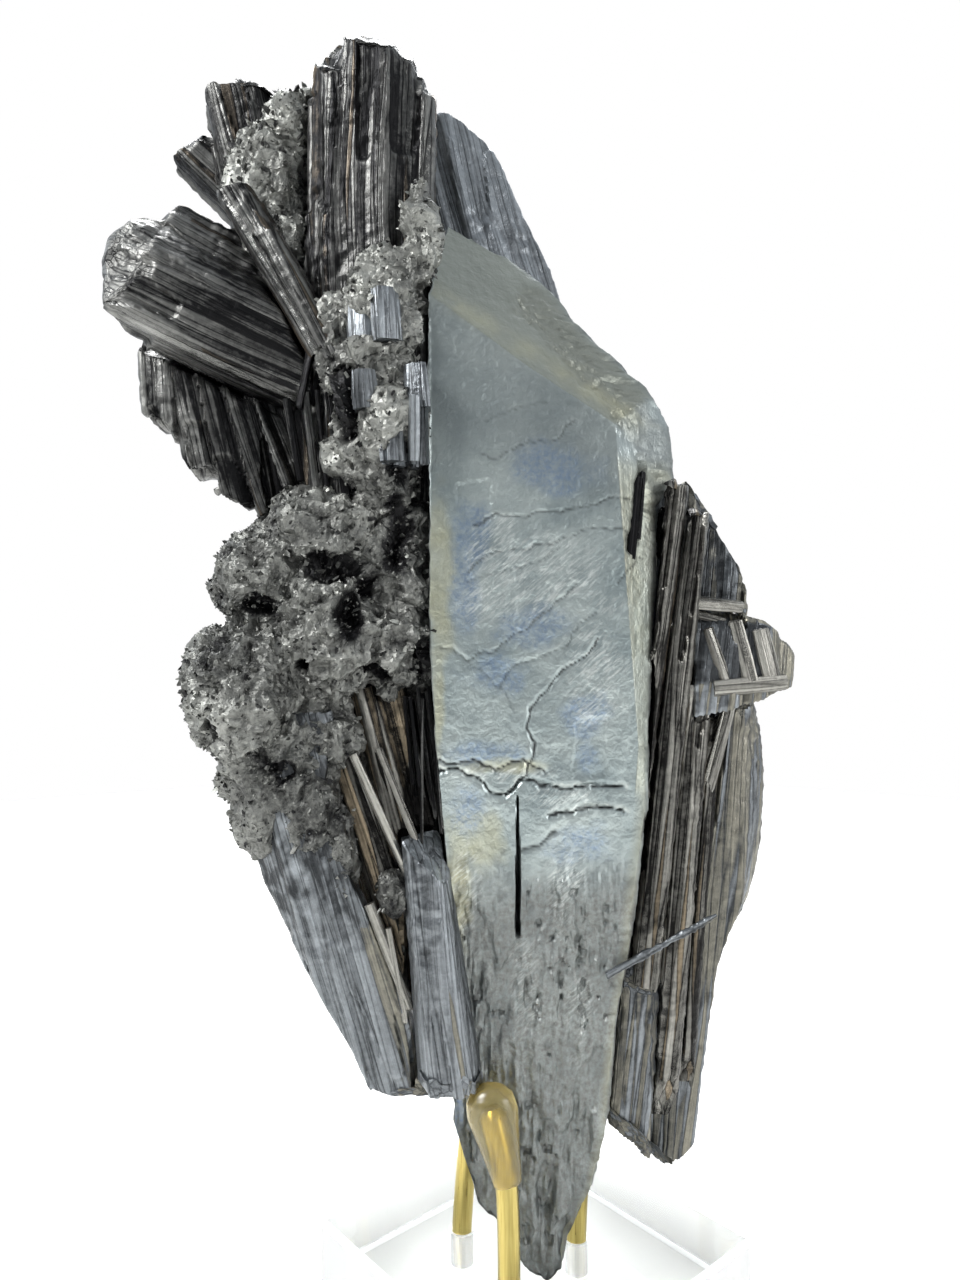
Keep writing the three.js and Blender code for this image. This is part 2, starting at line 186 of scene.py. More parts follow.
def crystal_finish(name, dark, light, tarnish, lath=0.8, contrast=0.5, roughness=(0.24, 0.5)):
    """Stibnite, a soft lead-grey metallic sulphide. Each crystal is a bundle of thin laths that grew
    side by side, finely ribbed along their length. dark and light are the tones from one lath to
    the next, tarnish is the colour of the laths that have a thin oxide film, and lath is their
    width in millimetres. The attributes give the place in the crystal's own frame, the local
    brightness, and the share of laths that are filmed."""
    material = empty_material(name)
    tree = material.node_tree
    grain = add_node(tree, "ShaderNodeAttribute", attribute_name="grain").outputs["Vector"]
    tone = add_node(tree, "ShaderNodeAttribute", attribute_name="tone").outputs["Fac"]
    filmed = add_node(tree, "ShaderNodeAttribute", attribute_name="tarnish").outputs["Fac"]
    stretched = add_node(tree, "ShaderNodeMapping", {
        "Vector": grain, "Scale": (1 / lath, 1 / (1.8 * lath), 1 / 26)}).outputs[0]
    picked = add_node(tree, "ShaderNodeTexVoronoi", {"Vector": stretched, "Scale": 1.0}).outputs["Color"]
    own = add_node(tree, "ShaderNodeSeparateColor", {0: picked}).outputs
    seam = add_node(tree, "ShaderNodeTexVoronoi", {
        "Vector": stretched, "Scale": 1.0}, feature="DISTANCE_TO_EDGE").outputs["Distance"]
    gap = add_node(tree, "ShaderNodeMapRange", {
        "Value": seam, "From Min": 0.02, "From Max": 0.13, "To Min": 1.0, "To Max": 0.0}).outputs[0]
    fine = add_node(tree, "ShaderNodeMapping", {
        "Vector": grain, "Scale": (2.6 / lath, 2.6 / lath, 1 / 16)}).outputs[0]
    ribs = add_node(tree, "ShaderNodeTexNoise", {
        "Vector": fine, "Scale": 1.0, "Detail": 4.0, "Roughness": 0.65}).outputs["Fac"]
    specks = add_node(tree, "ShaderNodeTexNoise", {
        "Vector": grain, "Scale": 1 / 0.8, "Detail": 4.0, "Roughness": 0.7}).outputs["Fac"]

    level = add_node(tree, "ShaderNodeMath", {
        0: tone, 1: 0.5 * (contrast + 0.8 + 0.6)}, operation="SUBTRACT").outputs[0]
    for value, weight in ((own["Red"], contrast), (ribs, 0.8), (specks, 0.6), (gap, -0.3)):
        level = add_node(tree, "ShaderNodeMath", {
            0: value, 1: weight, 2: level}, operation="MULTIPLY_ADD").outputs[0]
    level = add_node(tree, "ShaderNodeClamp", {0: level}).outputs[0]
    shades = []
    for brightest in (light, tarnish):
        shade = add_node(tree, "ShaderNodeMix", {"Factor": level}, data_type="RGBA")
        live(shade.inputs, "A").default_value = linear(dark)
        live(shade.inputs, "B").default_value = linear(brightest)
        shades.append(live(shade.outputs, "Result"))
    film = add_node(tree, "ShaderNodeMath", {0: own["Blue"], 1: filmed}, operation="LESS_THAN").outputs[0]
    base = add_node(tree, "ShaderNodeMix", {"Factor": film, "A": shades[0], "B": shades[1]}, data_type="RGBA")
    dullness = add_node(tree, "ShaderNodeMapRange", {
        "Value": own["Green"], "To Min": roughness[0], "To Max": roughness[1]}).outputs[0]
    height = specks
    for value, weight in ((own["Red"], 0.7), (ribs, 1.0), (gap, -0.5)):
        height = add_node(tree, "ShaderNodeMath", {
            0: value, 1: weight, 2: height}, operation="MULTIPLY_ADD").outputs[0]
    bump = add_node(tree, "ShaderNodeBump", {
        "Height": height, "Strength": 0.5, "Distance": 0.25 * MM}).outputs[0]
    shader = add_node(tree, "ShaderNodeBsdfPrincipled", {
        "Base Color": live(base.outputs, "Result"), "Metallic": 0.9, "Roughness": dullness, "Normal": bump})
    add_node(tree, "ShaderNodeOutputMaterial", {"Surface": shader.outputs[0]})
    return material


def dark_lath_finish():
    """Nearly black laths with a few brown ones."""
    return crystal_finish("dark_stibnite_laths", "19191a", "898986", "756b5e")


def tarnished_lath_finish():
    """Laths from nearly black to pale grey, many of them beige with an oxide film."""
    return crystal_finish("tarnished_stibnite_laths", "1c1b1a", "a3a19a", "a5967f", contrast=0.7)


def lead_grey_finish():
    """The mineral's fresh blue-grey, on broader and more even laths."""
    return crystal_finish(
        "striated_lead_grey_stibnite", "3a3c3e", "9a9fa3", "979385", lath=1.0, contrast=0.35,
        roughness=(0.28, 0.48))


def crust_finish():
    """A crust of very small crystals, dull in its hollows and sparkling on its points. Its colour
    follows the grit's height: darker in the hollows, painted shade, and paler on the points, painted
    highlight.
    """
    material = empty_material("granular_stibnite_crust")
    tree = material.node_tree
    place = add_node(tree, "ShaderNodeTexCoord").outputs["Object"]
    tone = add_node(tree, "ShaderNodeAttribute", attribute_name="tone").outputs["Fac"]
    grit = add_node(tree, "ShaderNodeTexNoise", {
        "Vector": place, "Scale": 1 / (1.1 * MM), "Detail": 4.0, "Roughness": 0.7,
    }).outputs["Fac"]
    grit_share = add_node(tree, "ShaderNodeMath", {
        0: grit, 1: 1.3, 2: -0.65}, operation="MULTIPLY_ADD").outputs[0]
    # The grit's height is added to the tone: painted shade in its hollows, painted highlight on its points.
    level = add_node(tree, "ShaderNodeMath", {
        0: grit_share, 1: tone}, operation="ADD", use_clamp=True).outputs[0]
    base = add_node(tree, "ShaderNodeMix", {"Factor": level}, data_type="RGBA")
    live(base.inputs, "A").default_value = linear("1a1a1b")
    live(base.inputs, "B").default_value = linear("8f908b")
    dullness = add_node(tree, "ShaderNodeMapRange", {
        "Value": grit, "From Min": 0.35, "From Max": 0.65, "To Min": 0.6, "To Max": 0.28,
    }).outputs[0]
    bump = add_node(tree, "ShaderNodeBump", {
        "Height": grit, "Strength": 0.6, "Distance": 0.5 * MM}).outputs[0]
    shader = add_node(tree, "ShaderNodeBsdfPrincipled", {
        "Base Color": live(base.outputs, "Result"), "Metallic": 0.7, "Roughness": dullness, "Normal": bump,
    })
    add_node(tree, "ShaderNodeOutputMaterial", {"Surface": shader.outputs[0]})
    return material


def cleavage_finish():
    """The main crystal's cleavage face: bright smooth metal, clouded by thin tarnish that is blue
    where it is thick and straw where it is thin, and matt and granular towards the tail. Its slot,
    cracks and pits get near-black painted shade, and the lifted crack edges a painted highlight."""
    material = empty_material("tarnished_stibnite_cleavage")
    tree = material.node_tree

    masks = {}
    for label in ("tail", "side", "upper", "roof", "straw", "blue", "sparkle", "lip", "hollow"):
        masks[label] = add_node(tree, "ShaderNodeAttribute", attribute_name=label).outputs["Fac"]
    place = add_node(tree, "ShaderNodeTexCoord").outputs["Object"]
    cloud = add_node(tree, "ShaderNodeTexNoise", {
        "Vector": place, "Scale": 1 / (9 * MM), "Detail": 5.0, "Roughness": 0.6}).outputs["Fac"]
    tall = add_node(tree, "ShaderNodeMapping", {
        "Vector": place, "Scale": (1 / (0.8 * MM), 1 / (0.8 * MM), 1 / (12 * MM))}).outputs[0]
    ribs = add_node(tree, "ShaderNodeTexNoise", {
        "Vector": tall, "Scale": 1.0, "Detail": 4.0, "Roughness": 0.6}).outputs["Fac"]
    grit = add_node(tree, "ShaderNodeTexNoise", {
        "Vector": place, "Scale": 1 / (0.7 * MM), "Detail": 3.0, "Roughness": 0.65}).outputs["Fac"]

    brushed = add_node(tree, "ShaderNodeMapping", {
        "Vector": place, "Rotation": (0, -0.7, 0), "Scale": (1.8 * MM, 0.5 * MM, 0.35 * MM),
    }, vector_type="TEXTURE").outputs[0]
    hammered = add_node(tree, "ShaderNodeTexNoise", {
        "Vector": place, "Scale": 1 / (1.8 * MM), "Detail": 3.0, "Roughness": 0.6, "Distortion": 0.2,
    }).outputs["Fac"]
    strokes = add_node(tree, "ShaderNodeTexNoise", {
        "Vector": brushed, "Scale": 1.0, "Detail": 4.0, "Roughness": 0.6}).outputs["Fac"]

    clouded = add_node(tree, "ShaderNodeMapRange", {
        "Value": cloud, "From Min": 0.35, "From Max": 0.65}).outputs[0]
    metal = add_node(tree, "ShaderNodeMix", {"Factor": clouded}, data_type="RGBA")
    live(metal.inputs, "A").default_value = linear("8d9899")
    live(metal.inputs, "B").default_value = linear("b0b9b7")
    colour = live(metal.outputs, "Result")
    # What lies over the bare metal, from the bottom up: its mask, the pattern that breaks it up, the
    # two values of the pattern between which it changes, its strength at each, and its colour.
    layers = [
        ("tail", grit, 0.3, 0.7, 1.0, 0.5, "6c6c69"),
        ("side", ribs, 0.38, 0.62, 0.1, 0.9, "414243"),
        ("upper", None, 0, 1, 1, 1, "828888"),
        ("roof", None, 0, 1, 1, 1, "7d8077"),
        ("straw", cloud, 0.3, 0.6, 1, 0.55, "bdb893"),
        ("blue", grit, 0.35, 0.6, 1, 0.3, "6f88ab"),
        ("sparkle", strokes, 0.46, 0.66, 0, 0.55, "e4e8e4"),
        # A painted highlight along the lifted upper edges of the cracks.
        ("lip", grit, 0.4, 0.55, 0.2, 1, "cfd2cb"),
        # Painted shade, near black, in the slot, the cracks and the tail's pits.
        ("hollow", None, 0, 1, 1, 1, "252627"),
    ]
    for label, pattern, low, high, at_low, at_high, hex_colour in layers:
        share = masks[label]
        if pattern is not None:
            strength = add_node(tree, "ShaderNodeMapRange", {
                "Value": pattern, "From Min": low, "From Max": high, "To Min": at_low, "To Max": at_high,
            }).outputs[0]
            share = add_node(tree, "ShaderNodeMath", {0: share, 1: strength}, operation="MULTIPLY").outputs[0]
        layer = add_node(tree, "ShaderNodeMix", {"Factor": share, "A": colour}, data_type="RGBA")
        live(layer.inputs, "B").default_value = linear(hex_colour)
        colour = live(layer.outputs, "Result")
    gritty = add_node(tree, "ShaderNodeMapRange", {
        "Value": grit, "From Min": 0.3, "From Max": 0.7, "To Min": 0.3, "To Max": 0.42}).outputs[0]
    dullness = add_node(tree, "ShaderNodeMath", {
        0: masks["tail"], 1: 0.16, 2: gritty}, operation="MULTIPLY_ADD").outputs[0]
    # The grit and the ribs are faint on the smooth face and grow to their full height on the tail.
    grain_height = add_node(tree, "ShaderNodeMath", {0: hammered, 1: 2.0}, operation="MULTIPLY").outputs[0]
    for pattern, faintest in ((grit, 0.4), (ribs, 0.2)):
        strength = add_node(tree, "ShaderNodeMapRange", {
            "Value": masks["tail"], "To Min": faintest, "To Max": 1.0}).outputs[0]
        grain_height = add_node(tree, "ShaderNodeMath", {
            0: pattern, 1: strength, 2: grain_height}, operation="MULTIPLY_ADD").outputs[0]
    bump = add_node(tree, "ShaderNodeBump", {
        "Height": grain_height, "Strength": 0.4, "Distance": 0.3 * MM}).outputs[0]
    shader = add_node(tree, "ShaderNodeBsdfPrincipled", {
        "Base Color": colour, "Metallic": 0.8, "Roughness": dullness, "Normal": bump})
    add_node(tree, "ShaderNodeOutputMaterial", {"Surface": shader.outputs[0]})
    return material


def drawn_brass_finish():
    """Drawn brass rod, dulled by handling, with fine scratches along its length."""
    material = empty_material("drawn_brass_rod")
    tree = material.node_tree
    place = add_node(tree, "ShaderNodeTexCoord").outputs["Object"]
    tall = add_node(tree, "ShaderNodeMapping", {
        "Vector": place, "Scale": (1 / (0.25 * MM), 1 / (0.25 * MM), 1 / (6 * MM))}).outputs[0]
    lines = add_node(tree, "ShaderNodeTexNoise", {
        "Vector": tall, "Scale": 1.0, "Detail": 3.0}).outputs["Fac"]
    base = add_node(tree, "ShaderNodeMix", {"Factor": lines}, data_type="RGBA")
    live(base.inputs, "A").default_value = linear("8f7a3c")
    live(base.inputs, "B").default_value = linear("cfc07a")
    dullness = add_node(tree, "ShaderNodeMapRange", {
        "Value": lines, "To Min": 0.22, "To Max": 0.4}).outputs[0]
    bump = add_node(tree, "ShaderNodeBump", {
        "Height": lines, "Strength": 0.15, "Distance": 0.05 * MM}).outputs[0]
    shader = add_node(tree, "ShaderNodeBsdfPrincipled", {
        "Base Color": live(base.outputs, "Result"), "Metallic": 1.0, "Roughness": dullness, "Normal": bump})
    add_node(tree, "ShaderNodeOutputMaterial", {"Surface": shader.outputs[0]})
    return material


def resin_finish():
    """Clear resin that was dipped on in drops and has yellowed, with cloudy streaks in it."""
    material = empty_material("yellowed_clear_resin")
    tree = material.node_tree
    place = add_node(tree, "ShaderNodeTexCoord").outputs["Object"]
    cloud = add_node(tree, "ShaderNodeTexNoise", {
        "Vector": place, "Scale": 1 / (2.5 * MM), "Detail": 3.0}).outputs["Fac"]
    base = add_node(tree, "ShaderNodeMix", {"Factor": cloud}, data_type="RGBA")
    live(base.inputs, "A").default_value = linear("cdb763")
    live(base.inputs, "B").default_value = linear("e9ddaa")
    bump = add_node(tree, "ShaderNodeBump", {
        "Height": cloud, "Strength": 0.2, "Distance": 0.3 * MM}).outputs[0]
    shader = add_node(tree, "ShaderNodeBsdfPrincipled", {
        "Base Color": live(base.outputs, "Result"), "Roughness": 0.22, "IOR": 1.5,
        "Transmission Weight": 0.85, "Normal": bump})
    add_node(tree, "ShaderNodeOutputMaterial", {"Surface": shader.outputs[0]})
    return material


def acrylic_finish():
    """Cast acrylic with polished faces. The scraped edges and the drilled seats stay frosted."""
    material = empty_material("polished_clear_acrylic")
    tree = material.node_tree
    place = add_node(tree, "ShaderNodeTexCoord").outputs["Object"]
    flat = add_node(tree, "ShaderNodeMapping", {"Vector": place, "Scale": (1, 1, 0)}).outputs[0]
    frosted = 0.0
    for foot_x, foot_y in ROD_FEET.values():
        away = add_node(tree, "ShaderNodeVectorMath", {
            0: flat, 1: (foot_x * MM, foot_y * MM, 0)}, operation="DISTANCE").outputs["Value"]
        inside = add_node(tree, "ShaderNodeMath", {
            0: away, 1: SEAT_FROST * MM}, operation="LESS_THAN").outputs[0]
        frosted = add_node(tree, "ShaderNodeMath", {0: inside, 1: frosted}, operation="MAXIMUM").outputs[0]
    squared = add_node(tree, "ShaderNodeMapping", {
        "Vector": place, "Location": (0, 0, -BLOCK_HEIGHT / 2 * MM)}).outputs[0]
    squared = add_node(tree, "ShaderNodeVectorRotate", {
        "Vector": squared, "Angle": -math.radians(BLOCK_TURN)}, rotation_type="Z_AXIS").outputs[0]
    sides = add_node(tree, "ShaderNodeSeparateXYZ", {
        0: add_node(tree, "ShaderNodeVectorMath", {0: squared}, operation="ABSOLUTE").outputs[0]}).outputs
    on_faces = 0.0
    for side, half in zip(sides, (BLOCK_SIDE / 2, BLOCK_SIDE / 2, BLOCK_HEIGHT / 2)):
        near = add_node(tree, "ShaderNodeMath", {
            0: side, 1: (half - SCRAPED_EDGE) * MM}, operation="GREATER_THAN").outputs[0]
        on_faces = add_node(tree, "ShaderNodeMath", {0: near, 1: on_faces}, operation="ADD").outputs[0]
    scraped = add_node(tree, "ShaderNodeMath", {0: on_faces, 1: 1.5}, operation="GREATER_THAN").outputs[0]
    frosted = add_node(tree, "ShaderNodeMath", {0: frosted, 1: scraped}, operation="MAXIMUM").outputs[0]
    dullness = add_node(tree, "ShaderNodeMapRange", {
        "Value": frosted, "To Min": 0.02, "To Max": 0.5}).outputs[0]
    clearness = add_node(tree, "ShaderNodeMapRange", {
        "Value": scraped, "To Min": 1.0, "To Max": 0.35}).outputs[0]
    shader = add_node(tree, "ShaderNodeBsdfPrincipled", {
        "Base Color": linear("fbfdfd"), "Roughness": dullness, "IOR": 1.49, "Transmission Weight": clearness})
    add_node(tree, "ShaderNodeOutputMaterial", {"Surface": shader.outputs[0]})
    return material


# ---------------------------------------------------------------- crystals wrapped in fine relief

def unit(vector):
    """The vector's direction, one long."""
    vector = np.asarray(vector, float)
    return vector / np.linalg.norm(vector)


def crystal_axes(along, facing=(0, -1, 0)):
    """Unit vectors across, towards the viewer and along a crystal."""
    along = unit(along)
    facing = unit(np.asarray(facing, float) - np.dot(facing, along) * along)
    return np.array([np.cross(facing, along), facing, along])


def sections(node, axes, rows, around):
    """Cuts a CAD node across its length in even rows. Each row is a closed loop of points round the
    cut, which starts where across is least and nearest to the viewer. around is the number of
    points on the front, the right, the back and the left of the crystal's own frame. Points are
    given across, towards the viewer and along."""
    mesh = NODES[node].data
    mesh.calc_loop_triangles()
    corners = np.array([v.co for v in mesh.vertices]) / MM @ axes.T
    triangles = corners[np.array([t.vertices for t in mesh.loop_triangles])]
    low, high = triangles[..., 2].min(), triangles[..., 2].max()
    heights = np.linspace(low + 0.02, high - 0.02, rows)
    on_box = box_ring(around)
    loops = np.zeros((rows, len(on_box), 3))
    for row, height in enumerate(heights):
        starts, ends = cut_segments(triangles, height)
        points = np.concatenate([starts, ends])
        middle = (points.min(0) + points.max(0)) / 2
        half = np.maximum((points.max(0) - points.min(0)) / 2, 1e-3)
        rays = on_box * half
        reach = ray_reach(middle, rays, starts, ends)
        loops[row, :, :2] = middle + rays * reach[:, None]
        loops[row, :, 2] = height
    return loops


def box_ring(around):
    """Points round a square from -1 to 1. They start at (-1, 1), with across first, and run to (1, 1)."""
    front, right, back, left = around
    corners = [(-1, 1), (1, 1), (1, -1), (-1, -1), (-1, 1)]
    sides = []
    for count, start, end in zip((front, right, back, left), corners, corners[1:]):
        step = np.arange(count)[:, None] / count
        sides.append(np.array(start) * (1 - step) + np.array(end) * step)
    return np.concatenate(sides)


def cut_segments(triangles, height):
    """The line segments where a plane across the crystal meets its triangles."""
    starts, ends = [], []
    side = triangles[..., 2] > height
    for triangle in triangles[side.any(1) & ~side.all(1)]:
        hits = []
        for a, b in ((0, 1), (1, 2), (2, 0)):
            low, high = triangle[a], triangle[b]
            if (low[2] > height) != (high[2] > height):
                share = (height - low[2]) / (high[2] - low[2])
                hits.append((low + share * (high - low))[:2])
        starts.append(hits[0])
        ends.append(hits[1])
    return np.array(starts), np.array(ends)


def ray_reach(middle, rays, starts, ends):
    """How far along each ray from the middle the outermost segment is met, in ray lengths."""
    edge = ends - starts
    offset = starts - middle
    cross = rays[:, 0, None] * edge[None, :, 1] - rays[:, 1, None] * edge[None, :, 0]
    cross = np.where(np.abs(cross) < 1e-12, 1e-12, cross)
    distance = (offset[:, 0] * edge[:, 1] - offset[:, 1] * edge[:, 0])[None] / cross
    place = (offset[None, :, 0] * rays[:, 1, None] - offset[None, :, 1] * rays[:, 0, None]) / cross
    met = (place > -1e-6) & (place < 1 + 1e-6) & (distance > 0)
    return np.where(met, distance, 0).max(1)


def loop_normals(loops):
    """Outward normals of the loops' points, from their neighbours."""
    round_step = np.roll(loops, -1, 1) - np.roll(loops, 1, 1)
    along_step = np.gradient(loops, axis=0)
    normals = np.cross(along_step, round_step)
    return normals / np.maximum(np.linalg.norm(normals, axis=2, keepdims=True), 1e-9)


def wrapped_crystal(name, node, along, rows, around, relief, marks, caps=5):
    """A closed skin over a CAD crystal. relief gives each point's height in millimetres from its
    place, its own frame and its normal, and marks gives the values that the material reads. caps is
    how many steps each end is closed in."""
    axes = crystal_axes(along)
    loops = sections(node, axes, rows, around)
    normals = loop_normals(loops)
    world, world_normals = loops @ axes, normals @ axes
    height = relief(world, loops, world_normals)
    world = world + world_normals * height[..., None]
    ring = loops.shape[1]
    attributes = {"grain": loops, "tone": 0.5 + 0.5 * noise(loops, (2.2, 2.2, 60), 7)}
    attributes |= marks(world, world_normals)

    # Each end is closed by rings that shrink to the middle of the last row.
    rings = [world[row] for row in range(rows)]
    values = {key: [value[row] for row in range(rows)] for key, value in attributes.items()}
    for end in (rows - 1, 0):
        middle = world[end].mean(0)
        for step in range(1, caps):
            share = step / caps
            extra = world[end] * (1 - share) + middle * share
            grit = noise(extra, 0.9, 5) * 0.35
            extra = extra + (axes[2] if end else -axes[2]) * np.abs(grit)[:, None]
            rings.insert(len(rings) if end else 0, extra)
            for key in values:
                values[key].insert(len(values[key]) if end else 0, attributes[key][end])
    flat = {key: np.concatenate(value) for key, value in values.items()}
    piece = mesh_object(name, np.concatenate(rings), tube_faces(len(rings), ring), flat)
    turn_outwards(piece)
    return piece


def turn_outwards(piece):
    """Flips a closed mesh whose faces point inwards."""
    mesh = piece.data
    mesh.calc_loop_triangles()
    corners = np.array([v.co for v in mesh.vertices])
    a, b, c = (corners[np.array([t.vertices[k] for t in mesh.loop_triangles])] for k in range(3))
    if np.einsum("ij,ij->", a, np.cross(b, c)) < 0:
        mesh.flip_normals()


def ribs(local, width, height, seed):
    """Flat-topped growth ribs that run along a crystal and fade in and out."""
    fine = noise(local, (width, width, 26), seed)
    coarse = noise(local, (3.1 * width, 3.1 * width, 60), seed + 3)
    steps = np.round(2.5 * coarse) / 2.5
    finest = noise(local, (0.45 * width, 0.45 * width, 12), seed + 5)
    return height * (0.45 * steps + 0.35 * np.tanh(3 * fine) + 0.2 * finest)


# ---------------------------------------------------------------- the main blade's face

# Cracks across the cleavage face, as (x, z) points, with each crack's depth, width and lip height.
FACE_CRACKS = [
    ([(-9.3, 132.5), (-6, 133.9), (3, 134.3), (9, 136.2), (14.6, 136.6)], 0.3, 0.22, 0.12),
    ([(-10.3, 126.3), (-8.5, 128.2), (0, 129.7), (8.8, 132.2), (15, 132)], 0.26, 0.2, 0.1),
    ([(-10.4, 124.8), (-4, 126.2), (0.6, 128), (3, 129.5)], 0.16, 0.18, 0.05),
    ([(-14.4, 115), (-12.4, 114.6), (-10.4, 113.3), (-7, 114.2), (-3.5, 117), (1.5, 120.5), (5.6, 124.2)],
     0.28, 0.2, 0.1),
    ([(-5.8, 109.6), (-3.2, 112.6), (1, 114), (4.3, 115.3), (6, 118.4), (8.4, 120.1)], 0.24, 0.2, 0.08),
    ([(-1.6, 105.8), (1.4, 109.5), (4.3, 112.6), (7.2, 114), (8.6, 116)], 0.45, 0.24, 0.16),
    ([(-1.6, 105.8), (-1.9, 103), (-0.7, 101), (-1.2, 98.6), (-1.8, 96.7), (-4.8, 93.4)], 0.45, 0.26, 0.1),
    ([(-10.4, 113.2), (-6.9, 110.3), (-4.9, 108.6), (-3.8, 105.6)], 0.16, 0.18, 0.04),
    ([(-8.6, 142.2), (-4, 143.4), (-1.4, 144.9), (2, 145.2), (5.1, 147.8)], 0.2, 0.2, 0.08),
    ([(-8, 147.6), (-3, 149.6), (1, 150.4)], 0.12, 0.2, 0.05),
    ([(11.4, 124.2), (13.6, 126.4), (15.6, 128.4)], 0.3, 0.22, 0.1),
]
# Where the face broke right across: open cracks whose upper edge is lifted into a lip that gets a
# painted highlight. The last is the gap down the bevel on the right, which has no lip.
FACE_FRACTURES = [
    ([(-14.6, 97), (-12.2, 97.4), (-9.6, 96.5), (-7.4, 94.2), (-5, 93.6), (-2.2, 96), (2.2, 94.4),
      (6, 94.6), (12, 94.8)], 0.7, 0.3, 0.36),
    ([(-14.6, 98.2), (-10.4, 98.4), (-6.2, 97.4), (-2.4, 98.4), (0.8, 96.9)], 0.5, 0.26, 0.32),
    ([(1.5, 90.4), (5, 91), (8.4, 91.8), (12.6, 90.9)], 0.7, 0.3, 0.4),
    ([(-3, 85.4), (0, 85.9), (2.4, 88.4)], 0.4, 0.3, 0.3),
    ([(15.6, 142), (14.9, 137), (13.6, 129.5)], 1.2, 0.6, 0),
]
# The low ridge between the slanted end facet and the face.
FACE_RIDGE = [(-15.8, 166.6), (-5.7, 160.9), (4.4, 154.3), (14.5, 147.8)]
# The long straight slot below the fracture: x, its top, its foot and its half width.
FACE_SLOT = (-3.1, 93.6, 72.8, 0.32)
# Flat-bottomed windows in the face: left, right, foot, top and depth.
FACE_WINDOWS = [(-12.2, -6.8, 134.4, 140.4, 0.1), (4.9, 9.8, 96, 103.6, 0.1)]


def distance_to_line(x, z, line):
    """The distance of points from a broken line, and whether they lie above it."""
    best = np.full(x.shape, 1e9)
    above = np.zeros(x.shape)
    for (x0, z0), (x1, z1) in zip(line, line[1:]):
        dx, dz = x1 - x0, z1 - z0
        share = np.clip(((x - x0) * dx + (z - z0) * dz) / (dx * dx + dz * dz), 0, 1)
        away = np.hypot(x - x0 - share * dx, z - z0 - share * dz)
        nearer = away < best
        best = np.where(nearer, away, best)
        above = np.where(nearer, np.sign(dx * (z - z0) - dz * (x - x0)), above)
    return best, above


def face_share(normals):
    """1 on what looks towards the viewer, 0 on what looks away."""
    return smooth_step(0.3, 0.75, -normals[..., 1])


def tail_share(world):
    """0 on the smooth upper face, 1 on the rough tail."""
    return smooth_step(88, 76, world[..., 2] + 2.5 * noise(world, 7, 11))


def wandering(world):
    """The points' x and z, pushed about a little so that cracks drawn by them run unevenly."""
    across = 0.35 * noise(world, 1.6, 21) + 0.15 * noise(world, 0.7, 35)
    return world[..., 0] + across, world[..., 2] + 0.5 * noise(world, 2.1, 22) + 0.22 * noise(world, 0.8, 36)


def slot_share(x, z):
    """1 inside the slot, which is thin at its top and widest near its foot."""
    slot_x, slot_top, slot_foot, half = FACE_SLOT
    half = np.clip(half * (slot_top + 3 - z) / (slot_top - slot_foot - 5), 0.1, half)
    pushed = x + 0.1 * noise(np.stack([x, 0 * x, z], -1), 3, 37)
    across = smooth_step(half + 0.1, half - 0.1, np.abs(pushed - slot_x))
    return across * smooth_step(slot_top, slot_top - 1, z) * smooth_step(slot_foot, slot_foot + 0.6, z)


def ragged_edge(world):
    """1 along the gritty edge on the upper right, 0 on the rest of the face."""
    away, _ = distance_to_line(world[..., 0], world[..., 2], [(0, 166.5), (20.5, 142), (19.5, 136)])
    return smooth_step(4.6, 2.2, away + noise(world, 2.5, 38))


def blade_relief(world, local, normals):
    """The height of the main blade's skin: cracks, slot, windows and flakes in front, ribs elsewhere."""
    x, z = world[..., 0], world[..., 2]
    wx, wz = wandering(world)
    cut = np.zeros(x.shape)
    for line, depth, width, lip in FACE_CRACKS + FACE_FRACTURES:
        away, above = distance_to_line(wx, wz, line)
        cut -= 0.7 * depth ** 1.5 * np.exp(-((away / width) ** 2))
        lifted = smooth_step(-0.1, 0.4, noise(world, (3, 3, 3), 34)) * (above > 0)
        cut += 0.25 * lip * lifted * np.exp(-away / 1.6) * (1 - np.exp(-((away / width) ** 2)))
    cut -= 2.2 * slot_share(x, z)
    for left, right, foot, top, depth in FACE_WINDOWS:
        inside = smooth_step(left, left + 0.25, wx) * smooth_step(right, right - 0.25, wx)
        inside *= smooth_step(foot, foot + 0.25, wz) * smooth_step(top + 0.1, top - 0.15, z - 0.15 * x)
        cut -= depth * inside
    front = face_share(normals)
    tail = tail_share(world)
    swell = 0.22 * noise(world, (10, 10, 30), 23) + 0.05 * noise(world, (3.5, 3.5, 7), 24)
    flakes = 0.05 * (1 - tail) * np.round(2 * noise(world, (7, 7, 5), 25)) / 2
    plate, _ = cells(wx / 2.6, wz / 6.5, 26, 0.06)
    chip, _ = cells(wx / 1.1, wz / 2.4, 27, 0.1)
    granular = tail * (1.1 * plate + 0.45 * chip - 0.7 + 0.3 * rough_noise(world, (1.0, 1.0, 5), 33))
    granular += ragged_edge(world) * (0.4 * rough_noise(world, 1.2, 39) - 0.15)
    pits = -0.5 * tail * smooth_step(0.5, 0.9, rough_noise(world, (1.6, 1.6, 2.2), 28))
    face = cut + swell + flakes + granular + pits + 0.025 * noise(world, 0.6, 29)
    sides = ribs(local, 0.9, 0.55, 30) + 0.16 * rough_noise(world, 1.6, 31)
    return front * face + (1 - front) * sides


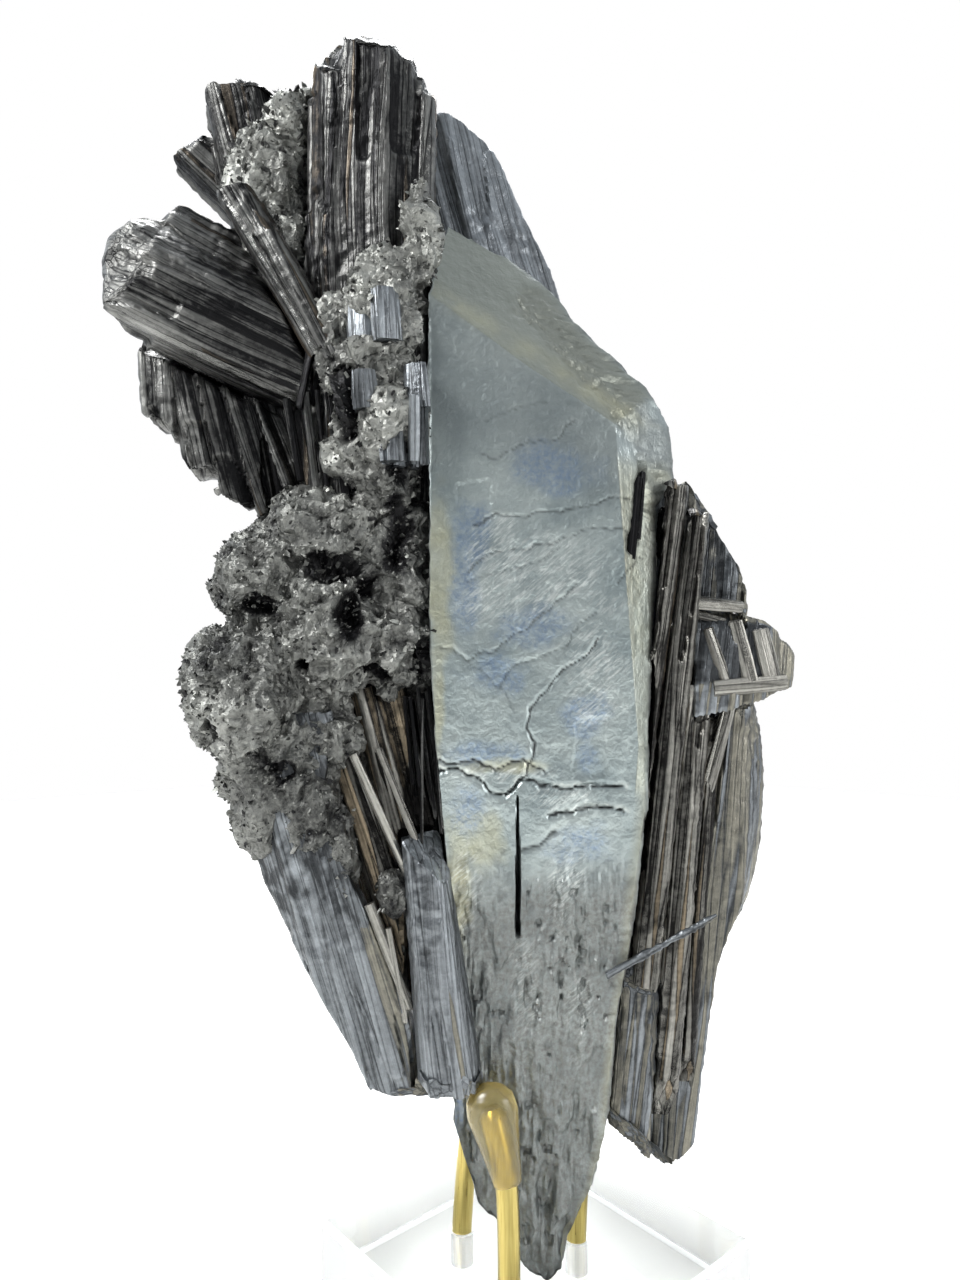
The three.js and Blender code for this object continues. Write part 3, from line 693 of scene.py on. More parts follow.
# Patches of tarnish and of brushed glints on the face: x, z and the two half sizes.
BLUE_PATCHES = [
    (-9.5, 131, 3.2, 5), (-10.6, 124, 2.4, 6), (0, 118, 6, 3.4), (-6, 111, 5, 3), (-7.5, 99.6, 6.5, 2),
    (6.8, 105, 3.4, 3.2), (7, 99, 2.4, 2.4), (-10, 91, 3, 4), (6, 86.5, 5, 3), (2, 141, 6, 4),
    (-12.5, 50, 2, 6),
]
STRAW_PATCHES = [
    (-14.6, 124, 2.2, 14), (-14.8, 109, 1.2, 12), (-12, 82, 2.2, 12), (-8, 87, 3, 5), (-6, 97.8, 8, 1),
]
SPARKLE_PATCHES = [
    (-5.6, 129, 5, 5), (-7.6, 122, 4, 4.5), (-5, 133, 3, 2), (2, 126, 7, 6), (-6, 96.8, 8, 1.2),
    (3, 93, 6, 2), (-11, 80, 2.6, 10), (8, 112, 5, 9), (3.4, 81, 3.4, 7), (-2, 66, 2.6, 8), (6, 62, 2, 9),
]


def patch_share(world, patches, seed):
    """How far points lie inside soft-edged patches, each given by its middle and its half sizes."""
    x, z = world[..., 0], world[..., 2]
    ragged = 0.35 * rough_noise(world, 3.2, seed)
    share = np.zeros(x.shape)
    for middle_x, middle_z, half_x, half_z in patches:
        away = np.hypot((x - middle_x) / half_x, (z - middle_z) / half_z)
        share = np.maximum(share, smooth_step(1.25, 0.45, away + ragged))
    return share


def blade_marks(world, normals):
    """How far each of the cleavage finish's layers covers each point of the main blade."""
    front = face_share(normals)
    roof = smooth_step(0.2, 0.4, normals[..., 2]) * front * (world[..., 2] > 130)
    x, z = world[..., 0], world[..., 2]
    pits = tail_share(world) * smooth_step(0.45, 0.85, rough_noise(world, (1.6, 1.6, 3), 28))
    bevel = smooth_step(0.14, 0.3, normals[..., 0]) * smooth_step(144, 141, z)
    streaked = bevel * (0.6 + 0.5 * noise(world, (0.8, 0.8, 20), 32))
    wx, wz = wandering(world)
    from_ridge, _ = distance_to_line(wx, wz, FACE_RIDGE)
    ridge = np.exp(-((from_ridge / 1.6) ** 2)) * (0.6 + 0.6 * rough_noise(world, 5, 40))
    cracked, lip_highlight = np.zeros(x.shape), np.zeros(x.shape)
    for line, depth, width, lip in FACE_CRACKS + FACE_FRACTURES:
        away, above = distance_to_line(wx, wz, line)
        cracked = np.maximum(cracked, min(1, 2.2 * depth) * np.exp(-((away / (0.75 * width)) ** 2)))
        lifted = smooth_step(-0.1, 0.4, noise(world, (3, 3, 3), 34)) * (above > 0)
        lip_highlight = np.maximum(lip_highlight, lifted * 1.5 * lip * np.exp(-((away - 0.5) / 0.35) ** 2))
    edges = np.maximum(ridge, 0.45 * bevel)
    return {
        "blue": 0.56 * front * patch_share(world, BLUE_PATCHES, 41),
        "straw": 0.6 * front * np.maximum(patch_share(world, STRAW_PATCHES, 42), edges),
        "sparkle": front * (1 - 0.55 * tail_share(world)) * patch_share(world, SPARKLE_PATCHES, 43),
        "tail": np.max([tail_share(world), 0.8 * ragged_edge(world), streaked, 0.7 * (1 - front)], axis=0),
        "side": 1 - front,
        "roof": 0.8 * roof,
        "upper": 0.5 * front * smooth_step(134, 146, z + 0.35 * x),
        # A painted highlight along the lifted upper edge of each crack.
        "lip": front * lip_highlight,
        # Painted shade, near black, in the slot, the cracks and the tail's pits.
        "hollow": np.clip((slot_share(x, z) + 0.3 * pits + cracked) * front, 0, 1),
    }


# ---------------------------------------------------------------- fluted crystals

def cells(u, v, seed, softness):
    """Uneven cells in a plane. Gives each point its cell's two values from 0 to 1, which change over
    a softness, in cell widths, at the cells' edges."""
    low_u, low_v = np.floor(u).astype(np.int64), np.floor(v).astype(np.int64)
    weights = value = other = 0
    for step_u in (-1, 0, 1):
        for step_v in (-1, 0, 1):
            cell_u, cell_v = low_u + step_u, low_v + step_v
            away = np.hypot(
                u - cell_u - hashed(cell_u, cell_v, 0, seed), v - cell_v - hashed(cell_u, cell_v, 1, seed))
            weight = np.exp(-away / softness)
            weights = weights + weight
            value = value + weight * hashed(cell_u, cell_v, 2, seed)
            other = other + weight * hashed(cell_u, cell_v, 3, seed)
    return value / weights, other / weights


def remeshed(name, node, cell, smoothing, axes=np.eye(3), lumps=()):
    """An even, closed copy of a CAD node's shape, with its points and normals in millimetres.
    smoothing is how many times each point is moved towards its neighbours, to round the corners.
    The copy's grid of points runs along the axes. lumps are egg shapes that are merged with it,
    each given by its middle and its half sizes."""
    source = NODES[node].copy()
    source.data = NODES[node].data.copy()
    source.parent = None
    source.hide_viewport = False
    bpy.context.scene.collection.objects.link(source)
    if lumps:
        shape = bmesh.new()
        shape.from_mesh(source.data)
        for x, y, z, *half in lumps:
            place = Matrix.Translation(Vector((x, y, z)) * MM) @ Matrix.Diagonal((*(Vector(half) * MM), 1))
            bmesh.ops.create_icosphere(shape, subdivisions=3, radius=1, matrix=place)
        shape.to_mesh(source.data)
        shape.free()
    source.data.transform(Matrix(axes).to_4x4())
    weld = source.modifiers.new("weld", "WELD")
    weld.merge_threshold = 1e-6
    even = source.modifiers.new("even", "REMESH")
    even.mode = "VOXEL"
    even.voxel_size = cell * MM
    soft = source.modifiers.new("soft", "SMOOTH")
    soft.factor = 0.5
    soft.iterations = smoothing
    bpy.context.view_layer.update()
    mesh = bpy.data.meshes.new_from_object(source.evaluated_get(bpy.context.evaluated_depsgraph_get()))
    bpy.data.objects.remove(source)
    mesh.name = name
    mesh.materials.clear()
    count = len(mesh.vertices)
    place, normal = np.zeros(count * 3), np.zeros(count * 3)
    mesh.vertices.foreach_get("co", place)
    mesh.vertices.foreach_get("normal", normal)
    return mesh, place.reshape(-1, 3) @ axes / MM, normal.reshape(-1, 3) @ axes


def own_frames(place, prisms):
    """Each point's place in the frame of the prism it belongs to: across, towards the viewer and
    along in millimetres, the same as shares of the prism's half sizes and length, and the prism's
    axis and its length."""
    best = np.full(len(place), 1e9)
    local, share, axis = (np.zeros((len(place), 3)) for _ in range(3))
    full = np.zeros(len(place))
    for index, (root, tip, width, depth) in enumerate(prisms):
        axes = crystal_axes(np.subtract(tip, root))
        length = np.linalg.norm(np.subtract(tip, root))
        inside = (place - root) @ axes.T
        shares = inside / (width / 2, depth / 2, length)
        beyond = np.maximum(np.maximum(-inside[:, 2], inside[:, 2] - length), 0) / width
        away = np.maximum(np.abs(shares[:, 0]), np.abs(shares[:, 1])) + beyond
        own = away < best
        best = np.where(own, away, best)
        local[own] = inside[own] + (37.0 * index, 0, 0)
        share[own] = shares[own]
        axis[own] = axes[2]
        full[own] = length
    return local, share, axis, full


def fluted_crystal(name, node, prisms, coarse, depth, seed, cell=0.38, dome=1.0, steps=2.0, rounding=0.5,
                   smoothing=14, level=0.4, contrast=0.5, tarnished=0.12, grit=0.09, facets=(), lumps=(),
                   shade=None):
    """A crystal of laths grown together. coarse is the width of its broad laths and depth the height
    between them. dome is how far its end is rounded off, rounding how far its corners are cut back,
    and steps how unevenly its laths end. facets are planes that cut it off, each given by a point
    and its outward direction, and lumps are egg shapes that are merged with it. level and contrast
    set the tones of its laths, tarnished is the share of them with an oxide film, and grit is the
    height of its fine roughness. shade changes tone and tarnish from place to place."""
    root, tip, *_ = prisms[0]
    axes = crystal_axes(np.subtract(tip, root))
    mesh, place, normal = remeshed(name, node, cell, smoothing, axes, lumps)
    for point, direction in facets:
        direction = unit(direction)
        beyond = (place - point) @ direction
        place = place - np.maximum(beyond, 0)[:, None] * direction
        share = smooth_step(0, 0.4, beyond)[:, None]
        normal = normal * (1 - share) + direction * share
    local, share, axis, length = own_frames(place, prisms)
    drift = 0.25 * noise(local, (4, 4, 22), seed + 5)
    across, deep, along = local[:, 0] + drift * coarse, local[:, 1], local[:, 2]
    broad, broad_end = cells(across / coarse, deep / (1.4 * coarse), seed, 0.28 / coarse)
    narrow, narrow_end = cells(across / 1.3, deep / 2.2, seed + 1, 0.2)
    past_end = along - length * (0.45 + 0.8 * broad_end)
    broken = smooth_step(0, 0.9, past_end)
    height = depth * (0.8 * broad + 0.3 * narrow - 0.55 - 0.6 * broken)
    height -= rounding * np.clip(np.abs(share[:, 0] * share[:, 1]), 0, 1.2) ** 2
    worn = smooth_step(0.05, 0.5, rough_noise(place, 9, seed + 11))
    height += (grit + 0.16 * worn) * rough_noise(place, 1.2, seed + 7)

    # The sides move along their normals, and the ends along the crystal's length.
    end = smooth_step(0.55, 0.85, np.abs(np.einsum("ij,ij->i", normal, axis)))
    outer = np.clip(np.abs(share[:, :2]).max(1), 0, 1.2)
    drop = dome * outer ** 3 + steps * (0.6 * broad_end + 0.4 * narrow_end)
    moved = place + normal * (height * (1 - end))[:, None]
    forwards = np.sign(share[:, 2] - 0.5)
    moved -= axis * (drop * end * forwards)[:, None]
    # Past a lath's broken end the tone drops a little, painted shade on the lower step, and along the break
    # it rises, a painted highlight on the broken edge.
    rim = np.exp(-((past_end / 0.4) ** 2))
    tone = level + contrast * (0.6 * broad + 0.4 * broad_end - 0.5 - 0.15 * broken + 0.4 * rim)
    tone += (0.05 + 0.15 * worn) * rough_noise(place, 1.6, seed + 8)
    tarnish = np.full(len(place), float(tarnished))
    if shade:
        tone, tarnish = shade(place, tone, tarnish)
    mesh.vertices.foreach_set("co", (moved * MM).ravel())
    set_values(mesh, "grain", np.stack([across, deep * (1 - 0.85 * end), along], 1))
    set_values(mesh, "tone", tone)
    set_values(mesh, "tarnish", tarnish)
    piece = placed(name, mesh)
    shade_smooth(piece, 38)
    return piece


# ---------------------------------------------------------------- laths, as instances made real

LATH_KINDS = 8


def lath_template(name, seed):
    """A lath 1 wide, 1 deep and 1 long, with a few flat ribs and a broken, slanted end."""
    rng = np.random.default_rng(seed)
    sides = 9
    angle = (np.arange(sides) + rng.uniform(-0.3, 0.3, sides)) / sides * 2 * np.pi
    ring = np.stack([np.cos(angle), np.sin(angle)], 1)
    ring = np.sign(ring) * np.abs(ring) ** 0.55 * 0.5 * (1 - 0.22 * rng.random(sides))[:, None]
    slant = rng.uniform(-0.03, 0.03, 2)
    levels = [(0, 1, 0), (0.4, 1.04, 0), (0.75, 0.97, 0), (0.965, 0.9, 1), (0.985, 0.55, 1)]
    vertices = []
    for height, scale, slanted in levels:
        for point in ring * scale:
            raised = slanted * (np.dot(point, slant) + rng.uniform(-0.006, 0.006))
            vertices.append((*point, height + raised))
    vertices = np.array(vertices)
    return mesh_object(name, vertices / MM, tube_faces(len(levels), sides), {"grain": vertices})


def template_collection(name, maker, count):
    """A hidden collection of shapes for the node trees to pick from."""
    collection = bpy.data.collections.new(name)
    for index in range(count):
        shape = maker(f"{name}_{index}", 100 + index)
        bpy.context.scene.collection.objects.unlink(shape)
        collection.objects.link(shape)
    return collection


def lath_tree():
    """Stands one lath on each point, by the point's turn, size and kind, and makes them real."""
    tree = node_group("stand_laths_on_points", [
        ("Points", "INPUT", "NodeSocketGeometry"), ("Laths", "INPUT", "NodeSocketCollection"),
        ("Finish", "INPUT", "NodeSocketMaterial"), ("Geometry", "OUTPUT", "NodeSocketGeometry")])
    given = add_node(tree, "NodeGroupInput").outputs
    kept = {}
    for label in ("turn", "size", "grain", "shift", "kind"):
        reader = add_node(
            tree, "GeometryNodeInputNamedAttribute", {"Name": label},
            data_type="INT" if label == "kind" else "FLOAT_VECTOR")
        kept[label] = live(reader.outputs, "Attribute")
    shapes = add_node(tree, "GeometryNodeCollectionInfo", {
        "Collection": given["Laths"], "Separate Children": True, "Reset Children": True}).outputs[0]
    turn = add_node(tree, "FunctionNodeEulerToRotation", {0: kept["turn"]}).outputs[0]
    laths = add_node(tree, "GeometryNodeInstanceOnPoints", {
        "Points": given["Points"], "Instance": shapes, "Pick Instance": True,
        "Instance Index": kept["kind"], "Rotation": turn, "Scale": kept["size"],
    }).outputs[0]
    real = add_node(tree, "GeometryNodeRealizeInstances", {"Geometry": laths}).outputs[0]
    millimetres = add_node(tree, "ShaderNodeVectorMath", {
        0: kept["grain"], 1: kept["size"]}, operation="MULTIPLY").outputs[0]
    shifted = add_node(tree, "ShaderNodeVectorMath", {
        0: millimetres, 1: (1 / MM, 1 / MM, 1 / MM), 2: kept["shift"]},
        operation="MULTIPLY_ADD").outputs[0]
    stored = add_node(tree, "GeometryNodeStoreNamedAttribute", {
        "Geometry": real, "Name": "grain", "Value": shifted},
        data_type="FLOAT_VECTOR", domain="POINT").outputs[0]
    finished = add_node(tree, "GeometryNodeSetMaterial", {
        "Geometry": stored, "Material": given["Finish"]}).outputs[0]
    add_node(tree, "NodeGroupOutput", {0: finished})
    return tree


def made_real(carrier, tree, inputs, name):
    """Runs a node tree on an object and returns the result as a plain mesh piece."""
    modifier = carrier.modifiers.new("made", "NODES")
    modifier.node_group = tree
    for item in tree.interface.items_tree:
        if item.in_out == "INPUT" and item.name in inputs:
            modifier[item.identifier] = inputs[item.name]
    bpy.context.view_layer.update()
    evaluated = carrier.evaluated_get(bpy.context.evaluated_depsgraph_get())
    mesh = bpy.data.meshes.new_from_object(evaluated)
    carrier.modifiers.remove(modifier)
    bpy.data.objects.remove(carrier)
    mesh.name = name
    return placed(name, mesh)


def lath_points(root, tip, width, depth, pitch, sizes, lean, stagger, tones, seed):
    """The laths that fill one bundle from root to tip: each one's place, aim, axes, sizes, tone,
    shape and roll. pitch is their spacing, sizes the range of their widths as multiples of it, lean
    their disorder in degrees, stagger how unevenly they end, and tones how dark to how bright they
    are."""
    rng = np.random.default_rng(seed)
    root, tip = np.array(root, float), np.array(tip, float)
    axes = crystal_axes(tip - root)
    length = np.linalg.norm(tip - root)
    across_count, deep_count = max(int(width / pitch), 1), max(int(depth / (pitch * 1.2)), 1)
    laths = []
    for i in range(across_count):
        for j in range(deep_count):
            u = 2 * (i + rng.uniform(0.1, 0.9)) / across_count - 1
            v = 2 * (j + rng.uniform(0.1, 0.9)) / deep_count - 1
            if abs(u) ** 3.2 + abs(v) ** 3.2 > 1.15:
                continue
            reach = (1 - 0.1 * (u * u + v * v)) * (1 - stagger * rng.random() ** 2)
            start = rng.uniform(-0.04, 0.04)
            place = root + axes[0] * u * width / 2 + axes[1] * v * depth / 2 + axes[2] * start * length
            aim = axes[2] + np.tan(np.radians(lean)) * rng.normal(0, 0.5, 3)
            wide, deep = pitch * rng.uniform(*sizes, 2)
            laths.append((
                place, aim, axes, wide, deep, (reach - start) * length, rng.uniform(*tones),
                rng.integers(0, LATH_KINDS), rng.uniform(-25, 25)))
    return laths


def lath_piece(name, laths, finish):
    """One piece from all of a crystal's laths."""
    rows = {key: [] for key in ("place", "turn", "size", "tone", "kind", "shift")}
    rng = np.random.default_rng(len(laths))
    for place, aim, axes, wide, deep, long, tone, kind, roll in laths:
        own = crystal_axes(aim, axes[1])
        turn = Matrix(own).transposed() @ Matrix.Rotation(math.radians(roll), 3, "Z")
        rows["place"].append(place)
        rows["turn"].append(turn.to_euler())
        rows["size"].append((wide * MM, deep * MM, long * MM))
        rows["tone"].append(tone)
        rows["kind"].append(kind)
        rows["shift"].append(rng.uniform(0, 500, 3))
    places = rows.pop("place")
    carrier = mesh_object(name + "_points", np.array(places), [], rows)
    return made_real(carrier, LATH_TREE, {"Laths": LATH_SHAPES, "Finish": finish}, name)


# ---------------------------------------------------------------- crust

SHARD_KINDS = 6


def shard_template(name, seed):
    """A tiny broken crystal, 1 across and about as long, with a slanted end."""
    rng = np.random.default_rng(seed)
    sides = 3
    angle = (np.arange(sides) + rng.uniform(-0.3, 0.3, sides)) / sides * 2 * np.pi
    ring = np.stack([np.cos(angle), rng.uniform(0.5, 1) * np.sin(angle)], 1) * 0.5
    long = rng.uniform(0.5, 1.3)
    vertices = [(*point, -0.4) for point in ring] + [(*point * 0.9, 0.6 * long) for point in ring]
    vertices.append((rng.uniform(-0.3, 0.3), rng.uniform(-0.2, 0.2), long))
    faces = [[i, (i + 1) % sides, (i + 1) % sides + sides, i + sides] for i in range(sides)]
    faces += [[i + sides, (i + 1) % sides + sides, 2 * sides] for i in range(sides)]
    faces.append(list(range(sides))[::-1])
    return mesh_object(name, np.array(vertices) / MM, faces)


def crust_tree():
    """Scatters small crystals over a surface, larger and smaller, leaning every way."""
    tree = node_group("scatter_crust_crystals", [
        ("Surface", "INPUT", "NodeSocketGeometry"), ("Shards", "INPUT", "NodeSocketCollection"),
        ("Density", "INPUT", "NodeSocketFloat"), ("Smallest", "INPUT", "NodeSocketFloat"),
        ("Largest", "INPUT", "NodeSocketFloat"), ("Finish", "INPUT", "NodeSocketMaterial"),
        ("Geometry", "OUTPUT", "NodeSocketGeometry")])
    given = add_node(tree, "NodeGroupInput").outputs
    scattered = add_node(tree, "GeometryNodeDistributePointsOnFaces", {
        "Mesh": given["Surface"], "Density": given["Density"], "Seed": 4}, distribute_method="RANDOM")
    lean = add_node(tree, "FunctionNodeRandomValue", {
        "Min": (-0.9, -0.9, 0.0), "Max": (0.9, 0.9, 6.28), "Seed": 5}, data_type="FLOAT_VECTOR")
    lean_turn = add_node(tree, "FunctionNodeEulerToRotation", {0: live(lean.outputs, "Value")}).outputs[0]
    turn = add_node(tree, "FunctionNodeRotateRotation", {
        "Rotation": scattered.outputs["Rotation"], "Rotate By": lean_turn}, rotation_space="LOCAL").outputs[0]
    chance = add_node(tree, "FunctionNodeRandomValue", {"Seed": 6}, data_type="FLOAT")
    rare = add_node(tree, "ShaderNodeMath", {
        0: live(chance.outputs, "Value"), 1: 5.0}, operation="POWER").outputs[0]
    size = add_node(tree, "ShaderNodeMapRange", {
        "Value": rare, "To Min": given["Smallest"], "To Max": given["Largest"]}).outputs[0]
    shapes = add_node(tree, "GeometryNodeCollectionInfo", {
        "Collection": given["Shards"], "Separate Children": True, "Reset Children": True}).outputs[0]
    shards = add_node(tree, "GeometryNodeInstanceOnPoints", {
        "Points": scattered.outputs["Points"], "Instance": shapes, "Pick Instance": True,
        "Rotation": turn, "Scale": size}).outputs[0]
    tones = add_node(tree, "FunctionNodeRandomValue", {"Min": 0.0, "Max": 0.95, "Seed": 8}, data_type="FLOAT")
    toned = add_node(tree, "GeometryNodeStoreNamedAttribute", {
        "Geometry": shards, "Name": "tone", "Value": live(tones.outputs, "Value")},
        data_type="FLOAT", domain="INSTANCE").outputs[0]
    real = add_node(tree, "GeometryNodeRealizeInstances", {"Geometry": toned}).outputs[0]
    both = add_node(tree, "GeometryNodeJoinGeometry")
    tree.links.new(given["Surface"], both.inputs[0])
    tree.links.new(real, both.inputs[0])
    finished = add_node(tree, "GeometryNodeSetMaterial", {
        "Geometry": both.outputs[0], "Material": given["Finish"]}).outputs[0]
    add_node(tree, "NodeGroupOutput", {0: finished})
    return tree


# Hollows pressed into the crust and darkened with painted shade: x, y, z and the three half sizes.
SHADED_HOLLOWS = [
    (-20.5, -18, 131, 2.8, 6, 5.4), (-30, -20, 126.6, 5.4, 4, 2.4), (-40.5, -19, 121, 3.6, 5, 1.8),
    (-27, -21, 119, 2, 4, 4), (-16.6, -18, 113, 1.6, 5, 4), (-20, -19, 142, 2.4, 4, 3.6),
    (-36.5, -22, 96.5, 3.2, 4, 2.2), (-23.6, -20, 110.5, 1.8, 4, 2.8), (-28, -17, 150, 2, 4, 6),
    (-46, -19, 104, 1.6, 4, 1.8), (-34, -22, 112, 1.4, 4, 1.2), (-24.6, -19, 124, 1.6, 4, 1.6),
]
# Lumps of the crust's outline, and where it runs down over the lower left blade, in the same terms.
CRUST_LUMPS = [
    (-42, -11, 123.5, 7, 7, 6.5), (-46, -11, 111, 7.6, 7, 7.5), (-31, -13.5, 102, 4.4, 5.6, 6.5),
    (-37.5, -13, 98, 7.5, 6.4, 8), (-33, -13.4, 91, 5, 5.6, 8), (-40.4, -12, 90, 4.4, 6, 7),
    (-28.6, -13.4, 84, 1.8, 5, 9), (-21.5, -17, 146.5, 5.5, 4.4, 4), (-24, -17, 157, 5, 4.2, 3.4),
    (-30, -15.4, 158.5, 3.2, 3, 7), (-17.6, -16.4, 175, 2.4, 2.6, 8), (-21, -17.4, 169.5, 5, 2.2, 3.6),
    (-21, -16.4, 79, 2.2, 1.8, 4),
]


def crust_core(name, node, cell, seed, lumps):
    """The body of a crust: the CAD lumps, remeshed finely, roughened, and hollowed here and there,
    with painted shade in its hollows and where it sinks.
    """
    mesh, place, normal = remeshed(name, node, cell, 14, lumps=lumps)
    crags = rough_noise(place, 7.5, seed)
    crumbs = 1 - 2 * np.abs(rough_noise(place, 3.4, seed + 1))
    grains = 1 - 2 * np.abs(noise(place, (1.0, 1.0, 1.6), seed + 3))
    low = smooth_step(99, 90, place[:, 2])
    crest = smooth_step(138, 150, place[:, 2])
    height = (1.5 * crags + 0.75 * crumbs) * (1 - 0.6 * low) + 0.35 * grains
    height += 0.5 * low * noise(place, (1.2, 1.2, 6), seed + 6)
    dark = np.zeros(len(place))
    # Each of these is pressed in, and dark keeps the painted shade that goes into its tone.
    for x, y, z, *half in SHADED_HOLLOWS:
        away = np.linalg.norm((place - (x, y, z)) / half, axis=1) + 0.3 * rough_noise(place, 2.4, seed + 2)
        depth = smooth_step(1.15, 0.45, away)
        height -= 3.4 * depth
        dark = np.maximum(dark, 1.3 * depth)
    place = place + normal * height[:, None]
    mesh.vertices.foreach_set("co", (place * MM).ravel())
    # The tone rises and falls with the surface's height and drops deep in the hollows, painted shade; it is
    # also paler at the crest and darker at the foot.
    set_values(mesh, "tone", np.clip(
        0.42 + 0.22 * rough_noise(place, 6, seed + 4) + 0.2 * height - 0.12 * low + 0.25 * crest - dark,
        -0.8, 1))
    return placed(name, mesh)


# ---------------------------------------------------------------- stand

BLOCK_SIDE, BLOCK_HEIGHT, BLOCK_TURN = 50, 20, 41
# How far the frosting reaches from a seat's middle, and in from the block's edges.
SEAT_FROST, SCRAPED_EDGE = 2.2, 0.82
ROD_FEET = {"front": (-4.5, -20.5), "left": (-11.5, 0.2), "right": (6.9, -2)}
ROD_ROUTES = {
    "front": [(-4.6, -20.5, 34), (-5.2, -20.6, 42), (-7, -20, 50)],
    "left": [(-10.7, 0.2, 32), (-10, 0, 38), (-8.6, -0.6, 46)],
    "right": [(7.3, -2, 31), (7.2, -1.2, 38), (6.2, -0.6, 46)],
}
ROD_RADIUS = 1.6


def smooth_route(points, steps):
    """A smooth curve through points, by Catmull-Rom splines."""
    points = np.array(points, float)
    padded = np.concatenate([[2 * points[0] - points[1]], points, [2 * points[-1] - points[-2]]])
    curve = []
    for a, b, c, d in zip(padded, padded[1:], padded[2:], padded[3:]):
        for t in np.arange(steps) / steps:
            curve.append(0.5 * (2 * b + (c - a) * t + (2 * a - 5 * b + 4 * c - d) * t ** 2
                                + (3 * b - a - 3 * c + d) * t ** 3))
    return np.array(curve + [points[-1]])


def lofted(name, route, radii, sides=32):
    """A closed tube along a route. radii gives each ring's half sizes across and front to back."""
    rings = []
    for i, point in enumerate(route):
        ahead = route[min(i + 1, len(route) - 1)] - route[max(i - 1, 0)]
        axes = crystal_axes(ahead)
        angle = np.arange(sides) / sides * 2 * np.pi
        wide, deep = radii[i]
        around = np.cos(angle)[:, None] * axes[0] * wide + np.sin(angle)[:, None] * axes[1] * deep
        rings.append(point + around)
    piece = mesh_object(name, np.concatenate(rings), tube_faces(len(rings), sides))
    turn_outwards(piece)
    return piece


def rod(side):
    """A brass rod from its seat in the block to its rounded end."""
    foot = ROD_FEET[side]
    route = smooth_route([(*foot, 8.3), (*foot, 15), (*foot, 21), *ROD_ROUTES[side]], 8)
    radii = np.full((len(route), 2), ROD_RADIUS)
    radii[0] = 0.85 * ROD_RADIUS
    radii[-1] = 0.6 * ROD_RADIUS
    piece = lofted(f"brass_rod_{side}", route, radii)
    shade_smooth(piece, 40)
    return piece


PAD_LENGTH, PAD_WIDTH, PAD_THICKNESS, PAD_OVERHANG = 14, 7.4, 5.4, 3.4


def pad(side):
    """The resin drop over a rod's end, widest just below its top and drawn thin down the rod."""
    bend, end = (np.array(point, float) for point in ROD_ROUTES[side][1:])
    aim = unit(end - bend)
    outline = [
        (0, 0.27), (0.12, 0.31), (0.3, 0.36), (0.5, 0.43), (0.7, 0.5), (0.85, 0.46), (0.95, 0.3), (1, 0.06),
    ]
    steps = np.linspace(0, 1, 34)
    half = np.interp(steps, *np.array(outline).T)
    start = end + aim * (PAD_OVERHANG - PAD_LENGTH)
    route = start + np.outer(steps * PAD_LENGTH, aim)
    route += (bend - (start + aim * np.dot(bend - start, aim))) * ((1 - steps) ** 2)[:, None] * 0.5
    radii = np.stack([half * PAD_WIDTH, half * PAD_THICKNESS], 1)
    radii = np.maximum(radii, np.where(steps < 0.9, 1.78, 0.2)[:, None])
    piece = lofted(f"resin_pad_{side}", route, radii)
    shade_smooth(piece, 60)
    return piece


# ---------------------------------------------------------------- building

LATH_SHAPES = template_collection("lath_shapes", lath_template, LATH_KINDS)
SHARD_SHAPES = template_collection("shard_shapes", shard_template, SHARD_KINDS)
LATH_TREE = lath_tree()
CRUST_TREE = crust_tree()


def build_main_blade():
    """The main crystal, with its cleavage face."""
    blade = wrapped_crystal(
        "main_blade_crystal", "main_blade", (0, 0, 1), 460, (146, 16, 16, 16), blade_relief, blade_marks)
    shade_smooth(blade, 28)
    set_piece(blade, ["main_blade"], cleavage_finish())


def column_shade(place, tone, tarnish):
    """Dark above, gritty and a little paler towards the foot and the left edge."""
    grit = smooth_step(174, 158, place[:, 2]) + 0.8 * smooth_step(-31, -34.5, place[:, 0])
    return tone + 0.25 * grit * rough_noise(place, 1.1, 201) + 0.24 * grit, tarnish


def arm_end_painted_highlight(place, tone, tarnish):
    """The arm's rounded end is lightened by a painted highlight, and its root is dark."""
    end = smooth_step(-44, -57, place[:, 0])
    return tone + 0.45 * end, tarnish * (1 - end)


def fan_shade(place, tone, tarnish):
    """Nearly black between its ribs, with a paler, gritty left edge."""
    edge = smooth_step(2.4, 0.4, place[:, 0] + 57.5 - 0.55 * np.clip(157 - place[:, 2], 0, 30))
    return tone + edge * (0.35 + 0.3 * rough_noise(place, 1.1, 205)), tarnish * (1 - edge)


def left_blade_shade(place, tone, tarnish):
    """Dark and fibrous where it leaves the crust, smooth and pale below, tarnished on its right."""
    rough = smooth_step(70, 82, place[:, 2] + 4 * rough_noise(place, 5, 202))
    right = smooth_step(-1.6, -0.6, place[:, 0] + 19.5 + 0.258 * (place[:, 2] - 52.3))
    dark = tone - 0.3 + 0.45 * rough_noise(place, 1.4, 203)
    return tone * (1 - rough) + dark * rough, 0.6 * right * (1 - rough)


def right_back_shade(place, tone, tarnish):
    """A pale slab along the right and at both ends, and laths made dark by painted shade in the recess beside
    it.
    """
    slab = smooth_step(-1.5, 1.5, place[:, 0] - 27.5 - 0.11 * (place[:, 2] - 95) + noise(place, 4, 204))
    foot = smooth_step(66, 56, place[:, 2])
    top = 0.7 * smooth_step(115, 121, place[:, 2])
    pale = np.max([slab, foot, top], axis=0)
    # Away from the pale parts the tone is pushed down: painted shade.
    return tone * pale + (2.2 * tone - 0.95) * (1 - pale), tarnish * (0.4 + 0.6 * pale)


